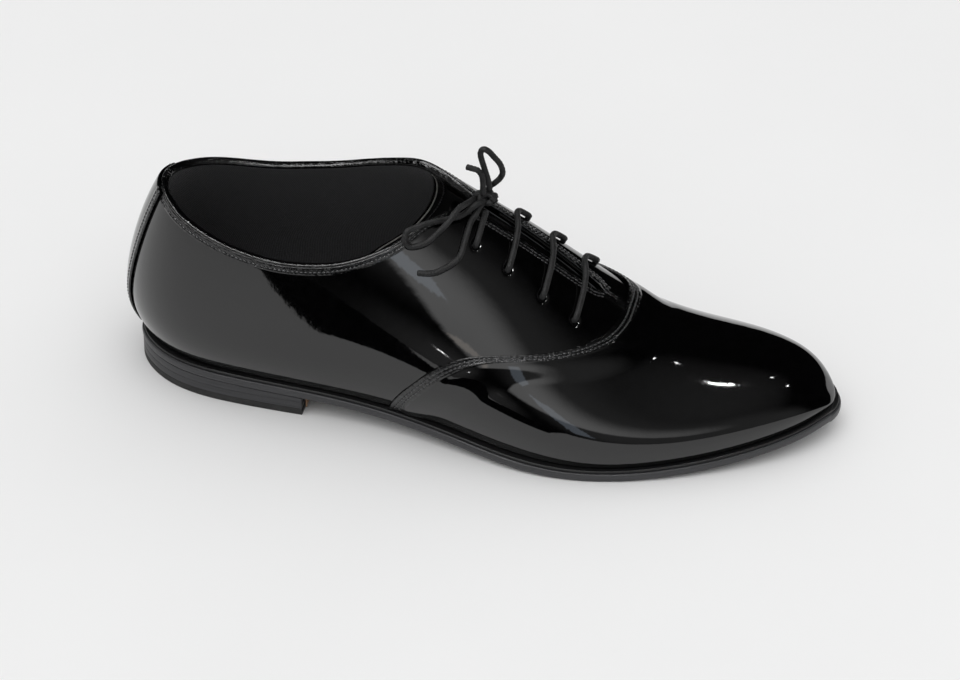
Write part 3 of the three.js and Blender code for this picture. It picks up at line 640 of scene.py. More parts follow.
def braidTube(name, points, replaced=()):
    # A round tube along a line. Its radius rises where one of two opposite families of helical strands lies
    # on top: the braid's relief is the larger of two cosines of (angle +- turns along the line).
    line = smoothLine(points, laceLook["step"])
    along = runLength(line)
    theta = np.linspace(0, 2 * np.pi, laceLook["around"] + 1)
    turns = 2 * np.pi * along[:, None] / laceLook["braidPitch"]
    half = laceLook["strands"] / 2
    one, other = np.cos(half * (theta - turns)), np.cos(half * (theta + turns))
    relief = laceLook["relief"] * (np.maximum(one, other) - 0.6)
    radius = laceLook["diameter"] / 2 - 0.04 + relief
    ends = np.clip(np.minimum(along, along[-1] - along) / laceLook["tipRound"], 0, 1)
    cap = np.sqrt(1 - (1 - ends) ** 2)[:, None]
    radius = radius * (laceLook["tipShare"] + (1 - laceLook["tipShare"]) * cap)
    along = np.concatenate([along[:1], along, along[-1:]])
    maps = np.stack(np.broadcast_arrays(along[:, None], theta * laceLook["diameter"] / 2), -1)
    points = ringsAlong(line, theta, radius[..., None])
    return makePiece(name, points, maps, braidMaterial, "waxed_lace", replaced), line


bow = {
    "knot": (123.5, 8.2, 81.9),
    "standingLoop": [
        (125, 8.5, 85.2), (124.5, 8.5, 89), (123, 8.5, 94.5), (121.5, 8.5, 100.5), (122.5, 8.5, 103),
        (124.5, 9, 102), (126, 10, 99.5), (128.5, 10.5, 96), (129.5, 10.5, 92.5), (128.5, 11, 89.5),
        (126.5, 11, 87), (124.5, 11.5, 84.8),
    ],
    "standingEnd": [
        (123, 6, 85), (123, 6, 89.5), (122.5, 6, 93), (121, 6, 95), (119, 6, 95.5), (116.5, 6, 96),
    ],
    "lateralLoop": [
        (120, 4.5, 83), (118.5, 0, 84), (116, -6, 84.5), (114, -11, 82.5), (111, -14, 79.5),
        (107, -18, 76.5), (102, -20.5, 75.5), (99.5, -21, 77.5), (99.5, -19.5, 80.5), (101.5, -17.5, 81.5),
        (106.5, -13.5, 82), (113, -7.5, 81), (117, -3.5, 80.5), (121.5, 2, 82.5),
    ],
    "lateralEnd": [
        (122, 3, 80), (121.5, 0, 79), (120.5, -4, 78), (120, -10.5, 75), (119, -17.5, 71),
        (114, -22.5, 68.5), (110, -24.5, 67.5), (105, -25.5, 67.5),
    ],
}


def bowCord(name, loop, through, end, replaced):
    # One half of the lace past the knot: out of it, round the loop, through the knot and on to its bare end.
    piece, line = braidTube(name, np.array(loop + [through] + end, float), replaced)
    path = (line - np.array(last["boxCentre"])) * mm
    length = float(runLength(path)[-1])
    tuple(path[0])
    print(name, "is", round(length / mm), "mm long")


# Half length, half height, slant in radians and twist of each wrap of the knot.
wraps = {"wide": (4.0, 1.426, 0.0, 0.36), "cross": (3.1, 1.798, 1.2, -0.6), "under": (3.5, 1.364, -0.7, 1.08)}


def knotWraps():
    # Closed rings of cord, each an ellipse that is twisted like an eight and turned, so that they cross.
    theta = np.linspace(0, 2 * np.pi, 40)
    for name, (along, high, slant, twist) in wraps.items():
        local = np.stack([along * np.cos(theta), twist * np.sin(2 * theta), high * np.sin(theta)], 1)
        c, s = math.cos(slant), math.sin(slant)
        local = local @ np.array([[c, s, 0], [-s, c, 0], [0, 0, 1]])
        braidTube("knotWrap_" + name, local + np.array(bow["knot"]), ["lace_knot"] * (name == "wide"))


def eyeletPass(row, side, along):
    # The lace's way through one eyelet, from outside to inside, as (u, v, height).
    u, v = eyelets[row]
    outside, inside = laceLook["outside"], laceLook["inside"]
    steps = [(0, 2.1, outside), (0, 0.7, outside - 0.45), (0, 0, -0.3), (0, 0, -4),
             (0.55, 0, inside + 0.5), (1.9, 0, inside)]
    return [(u + along * ahead / unitU, mirror(v + inwards / unitV, side), height)
            for ahead, inwards, height in steps]


def mirror(v, side):
    return v if side < 0 else 2 * ridge - v


# A bar over the throat: v, the rise above the leather in millimetres, and how far back in u.
arch = [(4.2, 0, 0), (4.5, 0.3, 0.01), (4.8, 0.9, 0.04), (5.05, 1.2, 0.08), (5.3, 0.8, 0.11),
        (5.55, 0.2, 0.12), (5.85, 0, 0.1)]


def laceBar(row, side):
    bar = [(eyelets[row][0] - back, v, laceLook["outside"] + rise) for v, rise, back in arch]
    return bar if side < 0 else bar[::-1]


def laceInner(start, end, side, aside, shares=(0.25, 0.5, 0.75)):
    # The stretch inside the shoe between two rows, moved aside by some millimetres.
    a, b = eyelets[start], eyelets[end]
    return [(a[0] + (b[0] - a[0]) * t, mirror(a[1] + (b[1] - a[1]) * t + aside / unitV, side),
             laceLook["inside"]) for t in shares]


def laceRun():
    # Straight-bar lacing: bars over rows 2, 4 and 3, with the stretches between them inside.
    outer, inner = -1, 1
    knotEnd = [(eyelets[0][0], v, laceLook["outside"] + 0.45) for v in (4.74, 4.45)]
    aside = 4.5
    route = (knotEnd
             + eyeletPass(0, outer, 1) + laceInner(0, 1, outer, 0, (0.5,)) + eyeletPass(1, outer, -1)[::-1]
             + laceBar(1, outer)
             + eyeletPass(1, inner, 1) + laceInner(1, 3, inner, -aside) + eyeletPass(3, inner, -1)[::-1]
             + laceBar(3, inner)
             + eyeletPass(3, outer, -1) + laceInner(3, 2, outer, 0, (0.5,)) + eyeletPass(2, outer, 1)[::-1]
             + laceBar(2, outer)
             + eyeletPass(2, inner, -1) + laceInner(2, 0, inner, aside) + eyeletPass(0, inner, 1)[::-1]
             + [(u, 2 * ridge - v, h) for u, v, h in knotEnd[::-1]])
    _, line = braidTube("laceRun", shoePoint(*np.array(route).T), ["lace_run"])
    print("lace in the eyelets is", round(runLength(line)[-1]), "mm long")


bowCord("bowStanding", bow["standingLoop"], (123.2, 8.6, 82.2), bow["standingEnd"],
        ["lace_loop_standing", "lace_end_standing"])
bowCord("bowLateral", bow["lateralLoop"], (123.4, 6, 81.6), bow["lateralEnd"],
        ["lace_loop_lateral", "lace_end_lateral"])
knotWraps()
laceRun()
print("laces made")


leatherLook = {"thickness": 1.1, "lap": 6, "vampRise": 1.35, "wave": 0.1, "liningDepth": 2.8,
               "liningThickness": 0.7, "tongueDepth": 7.7, "tongueThickness": 1.1}
seamLook = {"pitch": 1.9, "length": 1.6, "thickness": 0.74, "sink": 0.12, "groove": 0.26,
            "grooveWidth": 0.5, "rows": (1.7, 3.4)}
edgeLook = {"pitch": 1.7, "length": 1.4, "thickness": 0.62, "sink": 0.1, "groove": 0.22,
            "grooveWidth": 0.45, "rows": (1.5, 3.1), "from": (0.6, 5.05), "to": 6.9}
holeLook = {"radius": 1.9, "lip": 1.5, "depth": 0.75}
seed = np.random.default_rng(11)
waves = [(seed.uniform(0.6, 2.2, 2), seed.uniform(0, 6.28), seed.uniform(0.5, 1)) for _ in range(7)]


def undulation(u, v):
    # The slight waviness of lasted leather: a sum of a few broad sines of u and v with seeded phases.
    total = sum(size * np.sin(f[0] * u * 1.6 + f[1] * v + phase) for f, phase, size in waves)
    return leatherLook["wave"] * total / len(waves)


def holeDents(u, v):
    # The leather pressed in at each eyelet: a round step from the hole's lip down to its depth.
    inner, outer = holeLook["radius"] - holeLook["lip"], holeLook["radius"] + 0.35
    total = 0
    for eyeletU, eyeletV in eyelets:
        for w in (eyeletV, 2 * ridge - eyeletV):
            r = np.hypot((u - eyeletU) * unitU, (v - w) * unitV)
            total = total + holeLook["depth"] * (1 - smooth(r, inner, outer))
    return total


def quarterNet(topline, frontShift):
    # A Coons patch: the blend of its back, foot, top and front edges, less the corners' bilinear blend. Its
    # top edge is the topline up to the corner's share and the facing's edge from there on, and the foot
    # edge has run footShare of its way at the split.
    front = movedSeam(frontShift)
    top = splineThrough(topline)
    facing = splineThrough([topline[-1]] + outlines["facingEdge"] + [tuple(front[-1])])
    foot, end, back = front[0, 0], front[-1], topline[0][1]
    corner, split, footShare = 0.64, 0.55, 0.93
    halfGap = 0.012  # half the gap at the back seam, in u

    def at(s, t):
        slow = footShare + (s - split) * (1 - footShare) / (1 - split)
        along = np.where(s < split, s * footShare / split, slow)
        onFacing = sample(facing, (s - corner) / (1 - corner))
        high = np.where((s < corner)[..., None], sample(top, s / corner), onFacing)
        right = sample(front, t)
        cornerU = foot * s * (1 - t) + end[0] * s * t
        cornerV = end[1] * s * t + back * (1 - s) * t
        u = foot * along * (1 - t) + high[..., 0] * t + right[..., 0] * s - cornerU
        v = high[..., 1] * t + back * t * (1 - s) + right[..., 1] * s - cornerV
        return np.stack([np.maximum(u, halfGap), np.maximum(v, 0)], -1)

    return at


def mirrored(at):
    # The same net on the other side.
    def turned(s, t):
        uv = at(s, t)
        return np.stack([uv[..., 0], 2 * ridge - uv[..., 1]], -1)
    return turned


def stretch(at, low, high):
    # A part of a net between two shares of its length, each a number or a function of the height's share.
    def part(s, t):
        start, end = (bound(t) if callable(bound) else bound for bound in (low, high))
        return at(start + (end - start) * s, t)
    return part


def quarter(side, topline, turned):
    at = turned(quarterNet(topline, leatherLook["lap"]))

    def outer(u, v, d):
        # The second row of stitches runs only along the facing, so its groove fades in there.
        first, second = (groove(d["high"], row, edgeLook) for row in edgeLook["rows"])
        sewn = first + second * smooth(u, 4.9, 5.1)
        return 0.6 * undulation(u, v) * smooth(d["high"], 0, 12) - sewn - holeDents(u, v)

    points, maps, info = skinGrid(at, closer(330), closer(120, 1, 0.16), outer,
                                  leatherLook["thickness"], {"high": 2.0})
    makePiece("patentQuarter" + side.capitalize(), points, maps, patentMaterial, "patent_leather",
              ["quarter_" + side], hem=info["hem"])
    for i, row in enumerate(edgeLook["rows"]):
        line = lineAt(info, "high", row)
        keep = (line[:, 0] < edgeLook["to"]) & (line[:, 0] > edgeLook["from"][i])
        stitches(f"edgeStitches{side.capitalize()}{i + 1}", line[keep], -0.08, edgeLook)


def vampNet(end):
    # Straight lines in (u, v) from the seam to the row u = end, which each side's lines share evenly.
    def at(s, t):
        start = sample(wholeSeam, t)
        return np.stack([start[..., 0] + (end - start[..., 0]) * s,
                         start[..., 1] + (2 * ridge * t - start[..., 1]) * s], -1)
    return at


def vampPiece():
    def outer(u, v, d):
        # Raised over the quarters at the seam, then down to the last, and smooth again at the toe's tip.
        lined = sum(groove(d["start"], row, seamLook) for row in seamLook["rows"])
        lap, fadeIn = leatherLook["lap"], smooth(d["start"], 6, 30)
        rise = leatherLook["vampRise"] * (1 - smooth(d["start"], lap + 1, lap + 17))
        return rise + undulation(u, v) * fadeIn * (1 - smooth(u, 10.5, 11.8)) - lined

    points, maps, info = skinGrid(vampNet(toe), closer(192, 0.12), closer(244), outer,
                                  leatherLook["thickness"], {"start": 4.2})
    makePiece("patentVamp", points, maps, patentMaterial, "patent_leather", ["vamp"], hem=info["hem"])
    for i, row in enumerate(seamLook["rows"]):
        line = lineAt(info, "start", row)
        stitches(f"vampStitches{i + 1}", line[3:-3], leatherLook["vampRise"] - 0.1, seamLook)


# The strip over the back seam: half its width below and above in u, its foot and top in v, and how much
# the top dips beside the seam. The rest is in millimetres.
strapLook = {"halfLow": 0.3, "halfHigh": 0.5, "foot": 0.35, "top": 3.27, "dip": 0.3, "rise": 1.25,
             "thickness": 1.15, "row": 2.0, "hem": 2.4}


def backStrap():
    foot, row, hem = strapLook["foot"], strapLook["row"], strapLook["hem"]

    def at(s, t):
        half = strapLook["halfLow"] + (strapLook["halfHigh"] - strapLook["halfLow"]) * smooth(t, 0, 1)
        u = half * (2 * s - 1)
        return np.stack([u, foot + (strapLook["top"] - strapLook["dip"] * u**2 - foot) * t], -1)

    def outer(u, v, d):
        return strapLook["rise"] - groove(np.minimum(d["start"], d["end"]), row, edgeLook)

    points, maps, info = skinGrid(at, closer(60, 0.3, 0.3), closer(120, 0.5), outer,
                                  strapLook["thickness"], {"start": hem, "end": hem})
    makePiece("patentBackStrap", points, maps, patentMaterial, "patent_leather", ["back_strap"],
              hem=info["hem"])
    for kind in ("start", "end"):
        stitches("strapStitches" + kind.capitalize(), lineAt(info, kind, row), strapLook["rise"] - 0.05,
                 edgeLook)


bindingLook = {"depth": -1.65, "lift": 0.72, "halfWidth": 1.72, "halfHeight": 0.98, "square": 0.8, "hem": 0.8}


def squared(wave):
    return np.sign(wave) * np.abs(wave) ** bindingLook["square"]


def binding():
    # The rolled edge: an ellipse, squared a little, carried along both toplines.
    lateral = splineThrough(outlines["lateralTopline"], 260)
    medial = splineThrough(outlines["medialTopline"], 260)
    trace = np.concatenate([medial[::-1] * [-1, 1], lateral[1:]])
    foot = surfacePoint(trace[:, 0], trace[:, 1])
    normal = surfaceNormal(trace[:, 0], trace[:, 1])
    up = unit(surfacePoint(trace[:, 0], trace[:, 1] + 0.02) - surfacePoint(trace[:, 0], trace[:, 1] - 0.02))
    theta = np.linspace(0, 2 * np.pi, 29)
    depth = bindingLook["depth"] + bindingLook["halfWidth"] * squared(np.cos(theta))
    lift = bindingLook["lift"] + bindingLook["halfHeight"] * squared(np.sin(theta))
    points = foot[:, None] + normal[:, None] * depth[None, :, None] + up[:, None] * lift[None, :, None]
    centre = points[:, :-1].mean(1, keepdims=True)
    points = np.concatenate([0 * points[:1] + centre[:1], points, 0 * points[-1:] + centre[-1:]])
    along = np.arange(len(points))[:, None] * 0.5
    maps = np.stack(np.broadcast_arrays(along, theta[None] * 2), -1)
    makePiece("rolledTopline", points, maps, patentMaterial, "patent_leather", ["topline_binding"],
              hem=np.full(points.shape[:2], bindingLook["hem"]))


# Where cloth meets leather as a share of the quarter's length, at the topline and how much further back it
# is at the foot; then the leather's extra thickness, its sewn row and the radius of its cut edge.
facingLook = {"join": 0.535, "slant": 0.13, "gap": 0.01, "extra": 0.25, "row": 3.0, "hem": 3.6, "cut": 0.3}


def liningJoin(t):
    return facingLook["join"] - facingLook["slant"] * (1 - t)


def facingStart(t):
    return liningJoin(t) + facingLook["gap"]


def linings():
    depth, thick = -leatherLook["liningDepth"], leatherLook["liningThickness"]
    row = facingLook["row"]

    def faced(u, v, d):
        return depth + 0.15 * groove(d["start"], row, edgeLook) - holeDents(u, v) * 0.3

    for side, topline, turned in sides:
        at, label = turned(quarterNet(topline, -1.1)), side.capitalize()
        points, maps, _ = skinGrid(stretch(at, 0, liningJoin), closer(150), closer(80), depth, thick)
        makePiece("clothLining" + label, points, maps, clothMaterial, "lining_cloth",
                  ["quarter_lining_" + side])
        points, maps, info = skinGrid(stretch(at, facingStart, 1), closer(140, 0.2), closer(90, 1, 0.5),
                                      faced, thick + facingLook["extra"], {"start": facingLook["hem"]})
        makePiece("facingLining" + label, points, maps, patentMaterial, "patent_leather",
                  ["facing_lining_" + side], hem=info["hem"])
        inner = depth - thick - facingLook["extra"]
        stitches("facingStitches" + label, lineAt(info, "start", row)[8:-4], inner - 0.02,
                 dict(edgeLook, sink=-0.14))
        rawEdge("facingEdge" + label, lineAt(info, "start", 0.02), inner + 0.06)


def rawEdge(name, uv, height):
    # The cut edge of the facing lining: a narrow round bead along it.
    line = evenly(shoePoint(uv[:, 0], uv[:, 1], height), 160)
    points = ringsAlong(line, np.linspace(0, 2 * np.pi, 9), facingLook["cut"])
    makePiece(name, points, None, stuffs["rawEdge"], "patent_leather")


# Half the tongue's width in v at its top and how much narrower it is at its root, where it starts and how
# far it runs in u; then its sewn row and the crinkled strip in millimetres.
tongueLook = {"half": 1.05, "narrower": 0.35, "from": 4.86, "run": 2.05, "row": 2.0, "hem": 2.4}


def tongueNet(s, t):
    half = tongueLook["half"] - tongueLook["narrower"] * s
    return np.stack([tongueLook["from"] + tongueLook["run"] * s, ridge - half + 2 * half * t], -1)


def tongueClothNet(s, t):
    return tongueNet(0.02 + 0.96 * s, 0.03 + 0.94 * t)


def tongues():
    depth, thick, hem = -leatherLook["tongueDepth"], leatherLook["tongueThickness"], tongueLook["hem"]

    def outer(u, v, d):
        inside = np.minimum(np.minimum(d["low"], d["high"]), d["start"])
        return depth - groove(inside, tongueLook["row"], edgeLook) + 1.2 * undulation(u, v)

    points, maps, info = skinGrid(tongueNet, closer(110, 0.4), closer(80, 0.4, 0.4), outer, thick,
                                  {"start": hem, "low": hem, "high": hem})
    makePiece("patentTongue", points, maps, patentMaterial, "patent_leather", ["tongue"], "tongue",
              info["hem"])
    stitches("tongueStitches", lineAt(info, "start", tongueLook["row"])[6:-6], depth - 0.05, edgeLook,
             "tongue")
    points, maps, _ = skinGrid(tongueClothNet, closer(60), closer(40), depth - thick - 0.55, 0.7)
    makePiece("tongueCloth", points, maps, clothMaterial, "lining_cloth", ["tongue_lining"], "tongue")


def vampLining():
    points, maps, _ = skinGrid(vampNet(toe - 0.7), closer(90), closer(120), -leatherLook["liningDepth"],
                               leatherLook["liningThickness"])
    makePiece("vampCloth", points, maps, clothMaterial, "lining_cloth", ["vamp_lining"])


def unturned(at):
    return at


sides = [("lateral", outlines["lateralTopline"], unturned), ("medial", outlines["medialTopline"], mirrored)]
for sideMade in sides:
    quarter(*sideMade)
vampPiece()
backStrap()
binding()
linings()
tongues()
vampLining()
print("upper made")


soleLook = {"ledge": 2.3, "waistLedge": 3.1, "weltDrop": 0.7, "weltThickness": 1.1, "weltSetBack": 0.75,
            "gap": 0.3, "pressed": 0.25, "joint": 0.12, "outsole": 2.7, "heelEnd": 3.02, "heelSetBack": 0.2}
sockLook = {"inset": 5.2, "toeInset": 3, "top": 3.3, "bottom": 2.5}


def edgePoint(u, side, outwards):
    # A point of the feather edge moved square to it in plan, straight back or ahead at the two ends.
    u, outwards = np.broadcast_arrays(np.asarray(u, float), np.asarray(outwards, float))
    step = 0.004
    v = np.full(u.shape, 0.0 if side < 0 else 2.0 * ridge)
    inner = np.clip(u, step, toe - step)
    along = surfacePoint(inner + step, v) - surfacePoint(inner - step, v)
    out = -side * np.stack([along[..., 1], -along[..., 0], 0 * along[..., 0]], -1)
    out[..., 1] = np.where((u < 0.001) | (u > toe - 0.001), 0, out[..., 1])
    return surfacePoint(u, v) + unit(out) * outwards[..., None]


traceU = np.linspace(0, toe, 400)
featherTrace = surfacePoint(traceU, 0 * traceU)


def footHeight(x):
    # The height of the lateral feather edge at an x, which the whole layer takes at that x.
    return np.interp(x, featherTrace[:, 0], featherTrace[:, 2])


def ledge(u):
    # How far the sole stands out past the feather edge.
    waist = smooth(u, 3.2, 5) * (1 - smooth(u, 6, 7.4))
    return soleLook["ledge"] + (soleLook["waistLedge"] - soleLook["ledge"]) * waist


def slab(name, u, outwards, top, bottom, finish, slot, replaced, radius, across=9, belly=0.0):
    # A layer of the bottom. Each row runs up one side's rounded edge, across the top, down the other side's
    # edge and back underneath. The edge's outline is a box with quarter-round corners, and a belly at mid
    # height. top and bottom are functions of the feather edge's height.
    corner = np.radians([0, 30, 60, 90])
    outs = np.concatenate([-radius * (1 - np.sin(corner)), [belly], -radius * (1 - np.cos(corner))])
    rise = np.concatenate([radius * (1 - np.cos(corner)), [0], -radius * (1 - np.sin(corner))])

    def wall(side):
        columns = []
        middle = len(outs) // 2
        for k in range(len(outs)):
            point = edgePoint(u, side, outwards(u) + outs[k])
            z = footHeight(point[:, 0])
            high, low = top(z), bottom(z)
            level = (high + low) / 2 if k == middle else (high if k > middle else low) + rise[k]
            columns.append(np.stack([point[:, 0], point[:, 1], level], 1))
        return np.stack(columns, 1)

    lateral, medial = wall(-1), wall(1)[:, ::-1]
    t = np.linspace(0, 1, across)[None, 1:-1, None]

    def bridge(a, b, face):
        line = a[:, None] * (1 - t) + b[:, None] * t
        line[..., 2] = face(footHeight(line[..., 0]))
        return line

    over = bridge(lateral[:, -1], medial[:, 0], top)
    under = bridge(medial[:, -1], lateral[:, 0], bottom)
    points = np.concatenate([lateral, over, medial, under, lateral[:, :1]], 1)
    if u[0] > 0:
        points = np.concatenate([flatEnd(points[0]), points])
    if u[-1] < toe:
        points = np.concatenate([points, flatEnd(points[-1])])
    along, girth = runLength(points[:, len(outs) // 2]), runLength(points[len(points) // 3])
    maps = np.stack(np.broadcast_arrays(along[:, None], girth[None]), -1)
    makePiece(name, points, maps, finish, slot, [replaced])


def flatEnd(ring):
    # A blunt end: the ring drawn in to its own middle line.
    middle = ring.copy()
    middle[:, 2] = ring[:, 2].mean()
    return middle[None]


patchLook = {"wide": 11, "high": 5.5, "thickness": 0.5, "inset": 1.2, "down": 0.6, "ahead": 0.55,
             "narrowing": 0.35, "wave": 0.1}


def breastPatch():
    # A scrap of natural leather glued to the heel's front face by its lateral corner: a flat sheet with a
    # full rim, narrower inwards, whose lower edge waves as a shallow sine.
    end = soleLook["heelEnd"]
    near, far = edgePoint(end, -1, -patchLook["inset"]), edgePoint(end, 1, 0)
    s, t = np.meshgrid(np.linspace(0, 1, 24), np.linspace(0, 1, 16), indexing="ij")
    run = unit((far - near)[:2])
    out = np.array([run[1], -run[0]])
    top = float(soleBottom(footHeight(near[0]))) - patchLook["down"]
    high = 1 - patchLook["narrowing"] * s - patchLook["wave"] * np.sin(3 * np.pi * s)
    front = np.zeros(s.shape + (3,))
    front[..., :2] = near[:2] + run * (s * patchLook["wide"])[..., None] + out * patchLook["ahead"]
    front[..., 2] = top - patchLook["high"] * t * high
    back = front.copy()
    front[..., :2] += out * patchLook["thickness"]
    ring = np.concatenate([front, back[:, ::-1], front[:, :1]], 1)
    middle = (front + back) / 2
    ends = [np.concatenate([middle[k], middle[k, ::-1], middle[k, :1]])[None] for k in (0, -1)]
    points = np.concatenate([ends[0], ring, ends[1]])
    makePiece("breastPatch", points, None, stuffs["naturalLeather"], "sole_edge")


def weltTop(z):
    return z - soleLook["weltDrop"]


def weltBottom(z):
    return weltTop(z) - soleLook["weltThickness"]


def soleTop(z):
    return weltBottom(z) - soleLook["joint"]


def soleBottom(z):
    return weltBottom(z) - soleLook["gap"] - soleLook["pressed"] - soleLook["outsole"]


def level(height):
    return lambda z: 0 * z + height


def bottoms():
    # The layers from the top down. The three lifts share the height under the heel's seat evenly.
    even, rounded = np.linspace(0, toe, 420), toe * (0.5 - 0.5 * np.cos(np.linspace(0, np.pi, 420)))
    whole = rounded * 0.35 + 0.65 * even
    slab("weltLedge", whole, lambda u: ledge(u) - soleLook["weltSetBack"], weltTop, weltBottom,
         edges["weltEdge"], "sole_edge", "welt", 0.3, 13)
    slab("outsoleEdge", whole, ledge, soleTop, soleBottom, edges["soleEdge"], "sole_edge", "outsole",
         0.55, 21, 0.12)
    seat, gap = float(soleBottom(surfacePoint(2, 0)[..., 2])), soleLook["gap"]
    step, line, heelEdge = (seat - 3 * gap) / 3 + gap, 0.1, edges["heelEdge"]
    heel = np.linspace(0, soleLook["heelEnd"], 200)
    lifts = [
        ("topPiece", level(step - line), level(0.0), stuffs["heelRubber"], "heel_rubber",
         "heel_top_piece", 0.35),
        ("lowerLift", level(2 * step - line), level(step), heelEdge, "sole_edge", "heel_lift_lower", 0.08),
        ("upperLift", lambda z: soleBottom(z) - soleLook["joint"], level(2 * step), heelEdge, "sole_edge",
         "heel_lift_upper", 0.08),
    ]
    for name, *rest in lifts:
        slab(name, heel, lambda u: ledge(u) - soleLook["heelSetBack"], *rest)
    breastPatch()
    slab("sockCloth", whole[8:-8], lambda u: -sockLook["inset"] - sockLook["toeInset"] * smooth(u, 9.5, 11),
         lambda z: z + sockLook["top"], lambda z: z + sockLook["bottom"], clothMaterial, "lining_cloth",
         "sock_lining", 0.3, 30)


bottoms()
board, tape = stuffs["fibreBoard"], stuffs["stayTape"]
finishes = {
    "insole_board": board, "cork_filler": stuffs["groundCork"], "shank": stuffs["springSteel"],
    "heel_counter": board, "toe_puff": board, "facing_stay_lateral": tape, "facing_stay_medial": tape,
}
finishes.update({name: stuffs["nailSteel"] for name in nodes if name.startswith("heel_nail")})
finishes.update({name: stuffs["eyeletLacquer"] for name in nodes if name.startswith("blind_eyelet")})
for name, finish in finishes.items():
    nodes[name].data.materials.clear()
    nodes[name].data.materials.append(finish)
print("bottom made")


lightLook = {
    "floor": 0.86,
    "ambient": 0.82,
    "backdrop": 0.9,
    "sky": (0.004, 0.15),  # what the leather mirrors low down, and straight up
    "skyFrom": (0.75, 0.98),  # sines of the heights between which the one turns into the other
    "soft": {"place": (0.1, -0.5, 2.2), "size": 2.6, "power": 15},
    # Soft glows in the mirrored room: compass direction from straight ahead, height, core and rim in degrees,
    # strength, and the height below which the glow is cut off.
    "glows": [(4, 38, 4, 36, 1.15, 29), (50, 22, 20, 52, 0.22, -20), (-35, 12, 4, 30, 0.25, -20)],
    # Cards that only the gloss sees: compass direction, height, width and height in degrees, strength, tint.
    "cards": {
        "window": (14, 25, 7, 34, 0.9, (0.72, 0.84, 1)),
        "doorway": (-9, 36, 3, 12, 0.9, (1, 0.86, 0.74)),
        "rimStrip": (-65, 62, 60, 12, 7, (1, 1, 1)),
        "zenithStrip": (0, 86, 24, 2.4, 40, (1, 1, 1)),
        "lampBack": (154, 69, 2.2, 1.2, 60, (1, 1, 1)),
        "lampSide": (128, 52, 1.6, 1.2, 45, (1, 1, 1)),
        "lampFar": (150, 56, 1.2, 1, 30, (1, 1, 1)),
        "lampFront": (-17, 16, 1.2, 1.2, 22, (1, 1, 1)),
    },
    "cardDistance": 3.0,
    # A black sheet just above the floor that only gloss rays see, giving a painted dark reflection on the
    # leather: its corners and its height.
    "paintedReflectionCard": [(-0.085, -0.135), (0.03, -0.115), (0.5, -5.9), (-2.1, -5.9)],
    "paintedReflectionCardHeight": 0.0008,
}


def direction(compass, high):
    # The direction at a compass angle to the right of straight ahead of the shoe's side, and at a height.
    a, e = math.radians(compass), math.radians(high)
    return np.array([math.sin(a) * math.cos(e), -math.cos(a) * math.cos(e), math.sin(e)])


def areaLight(name, place, size, power, tint=(1, 1, 1), glossy=False):
    # A rectangle aimed at the shoe, which lights either matt surfaces or gloss.
    data = bpy.data.lights.new(name, "AREA")
    data.shape, data.size, data.size_y, data.energy, data.color = "RECTANGLE", size[0], size[1], power, tint
    light = bpy.data.objects.new(name, data)
    light.location = place
    light.rotation_euler = (-Vector(place)).to_track_quat("-Z", "Y").to_euler()
    light.visible_glossy, light.visible_diffuse = glossy, not glossy
    bpy.context.scene.collection.objects.link(light)


def stageSheet(name, corners, height, finish):
    # One flat face, turned upwards.
    mesh = bpy.data.meshes.new(name)
    mesh.from_pydata([(x, y, height) for x, y in corners], [], [(3, 2, 1, 0)])
    if mesh.polygons[0].normal.z < 0:
        mesh.flip_normals()
    mesh.materials.append(finish)
    sheet = bpy.data.objects.new(name, mesh)
    bpy.context.scene.collection.objects.link(sheet)
    return sheet


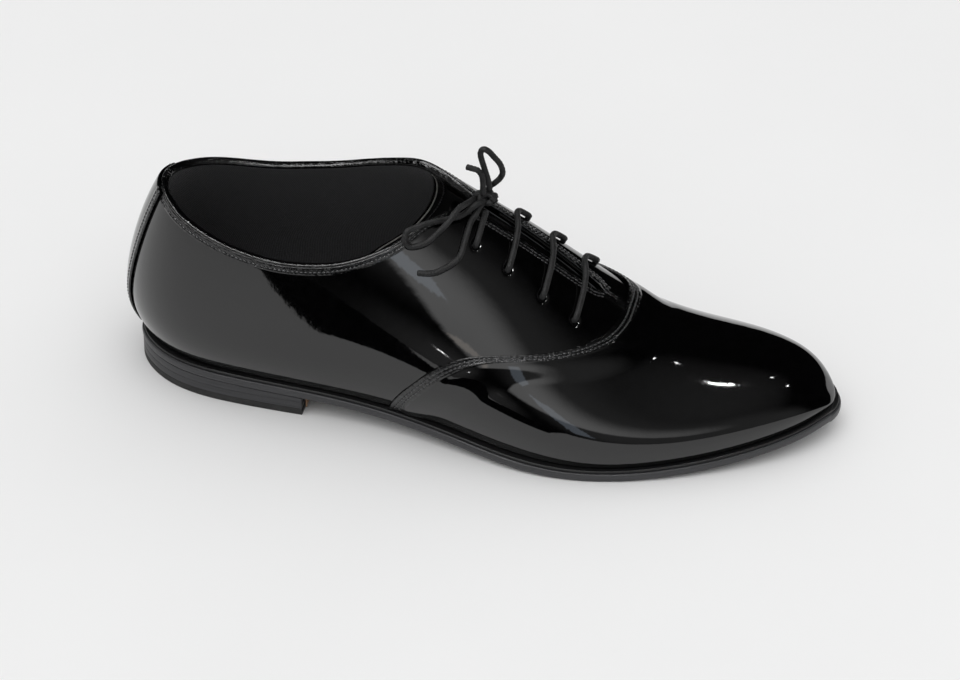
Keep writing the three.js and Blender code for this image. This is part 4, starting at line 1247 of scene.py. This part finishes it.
def studio():
    # A card's power is its radiance times its area times pi.
    pale, side = lightLook["floor"], 6.0
    made, tree, shader, where = material("paleFloor", Roughness=0.7, Specular_IOR_Level=0.2)
    parts = use(tree, mottle, Vector=where["Object"], Broad=6.0, Fine=300.0)
    tone(tree, shader, parts["Cloud"], 0.3, 0.7, Base_Color=((pale,) * 3, (pale + 0.02,) * 3))
    stageSheet("floor", [(-side, -side), (side, -side), (side, side), (-side, side)], 0.0, made)
    # A black sheet hidden from the camera, from matt light and from shadows, seen only in the gloss: a
    # painted dark reflection on the patent leather.
    black = material("paintedDarkReflection", Base_Color=(0.002, 0.002, 0.002, 1), Roughness=1.0,
                     Specular_IOR_Level=0.0)[0]
    card = stageSheet("paintedReflectionCard", lightLook["paintedReflectionCard"], lightLook["paintedReflectionCardHeight"], black)
    card.visible_camera = card.visible_diffuse = False
    card.visible_shadow = card.visible_transmission = False
    soft = lightLook["soft"]
    areaLight("softTop", soft["place"], (soft["size"], soft["size"]), soft["power"])
    far = lightLook["cardDistance"]
    for name, (compass, high, wide, tall, strength, tint) in lightLook["cards"].items():
        size = [2 * far * math.tan(math.radians(angle / 2)) for angle in (wide, tall)]
        power = strength * size[0] * size[1] * math.pi
        areaLight(name, direction(compass, high) * far, size, power, tint, True)


def skyWorld():
    # The camera sees a pale backdrop, matt surfaces get an even light, and gloss mirrors a dim room whose
    # ceiling is a little lighter. Each glow is a smooth step of the cosine to its own direction.
    world = bpy.data.worlds.new("studio")
    world.use_nodes = True
    tree = world.node_tree
    where = node(tree, "ShaderNodeTexCoord").outputs["Generated"]
    up = node(tree, "ShaderNodeSeparateXYZ", {0: where}).outputs[2]

    def spread(value, low, high, start=0.0, end=1.0, kind="SMOOTHSTEP"):
        limits = {"Value": value, "From Min": low, "From Max": high, "To Min": start, "To Max": end}
        return node(tree, "ShaderNodeMapRange", limits, interpolation_type=kind).outputs[0]

    reflected = spread(up, *lightLook["skyFrom"], *lightLook["sky"], "LINEAR")
    for compass, high, core, rim, strength, floor in lightLook["glows"]:
        axis = tuple(direction(compass, high))
        facing = node(tree, "ShaderNodeVectorMath", {0: where, 1: axis}, operation="DOT_PRODUCT")
        glow = spread(facing.outputs["Value"], math.cos(math.radians(rim)), math.cos(math.radians(core)),
                      end=strength)
        cut = spread(up, math.sin(math.radians(floor - 2)), math.sin(math.radians(floor + 3)))
        reflected = mathNode(tree, "ADD", reflected, mathNode(tree, "MULTIPLY", glow, cut))
    ways = node(tree, "ShaderNodeLightPath").outputs
    lit = node(tree, "ShaderNodeMix", {"Factor": ways["Is Diffuse Ray"], "B": lightLook["ambient"]})
    tree.links.new(reflected, lit.inputs["A"])
    seen = node(tree, "ShaderNodeMix", {"Factor": ways["Is Camera Ray"], "B": lightLook["backdrop"]})
    tree.links.new(lit.outputs[0], seen.inputs["A"])
    tree.links.new(seen.outputs[0], tree.nodes["Background"].inputs["Color"])
    bpy.context.scene.world = world


skyWorld()
studio()
bpy.context.scene.view_settings.view_transform = "Standard"
print("studio lit")
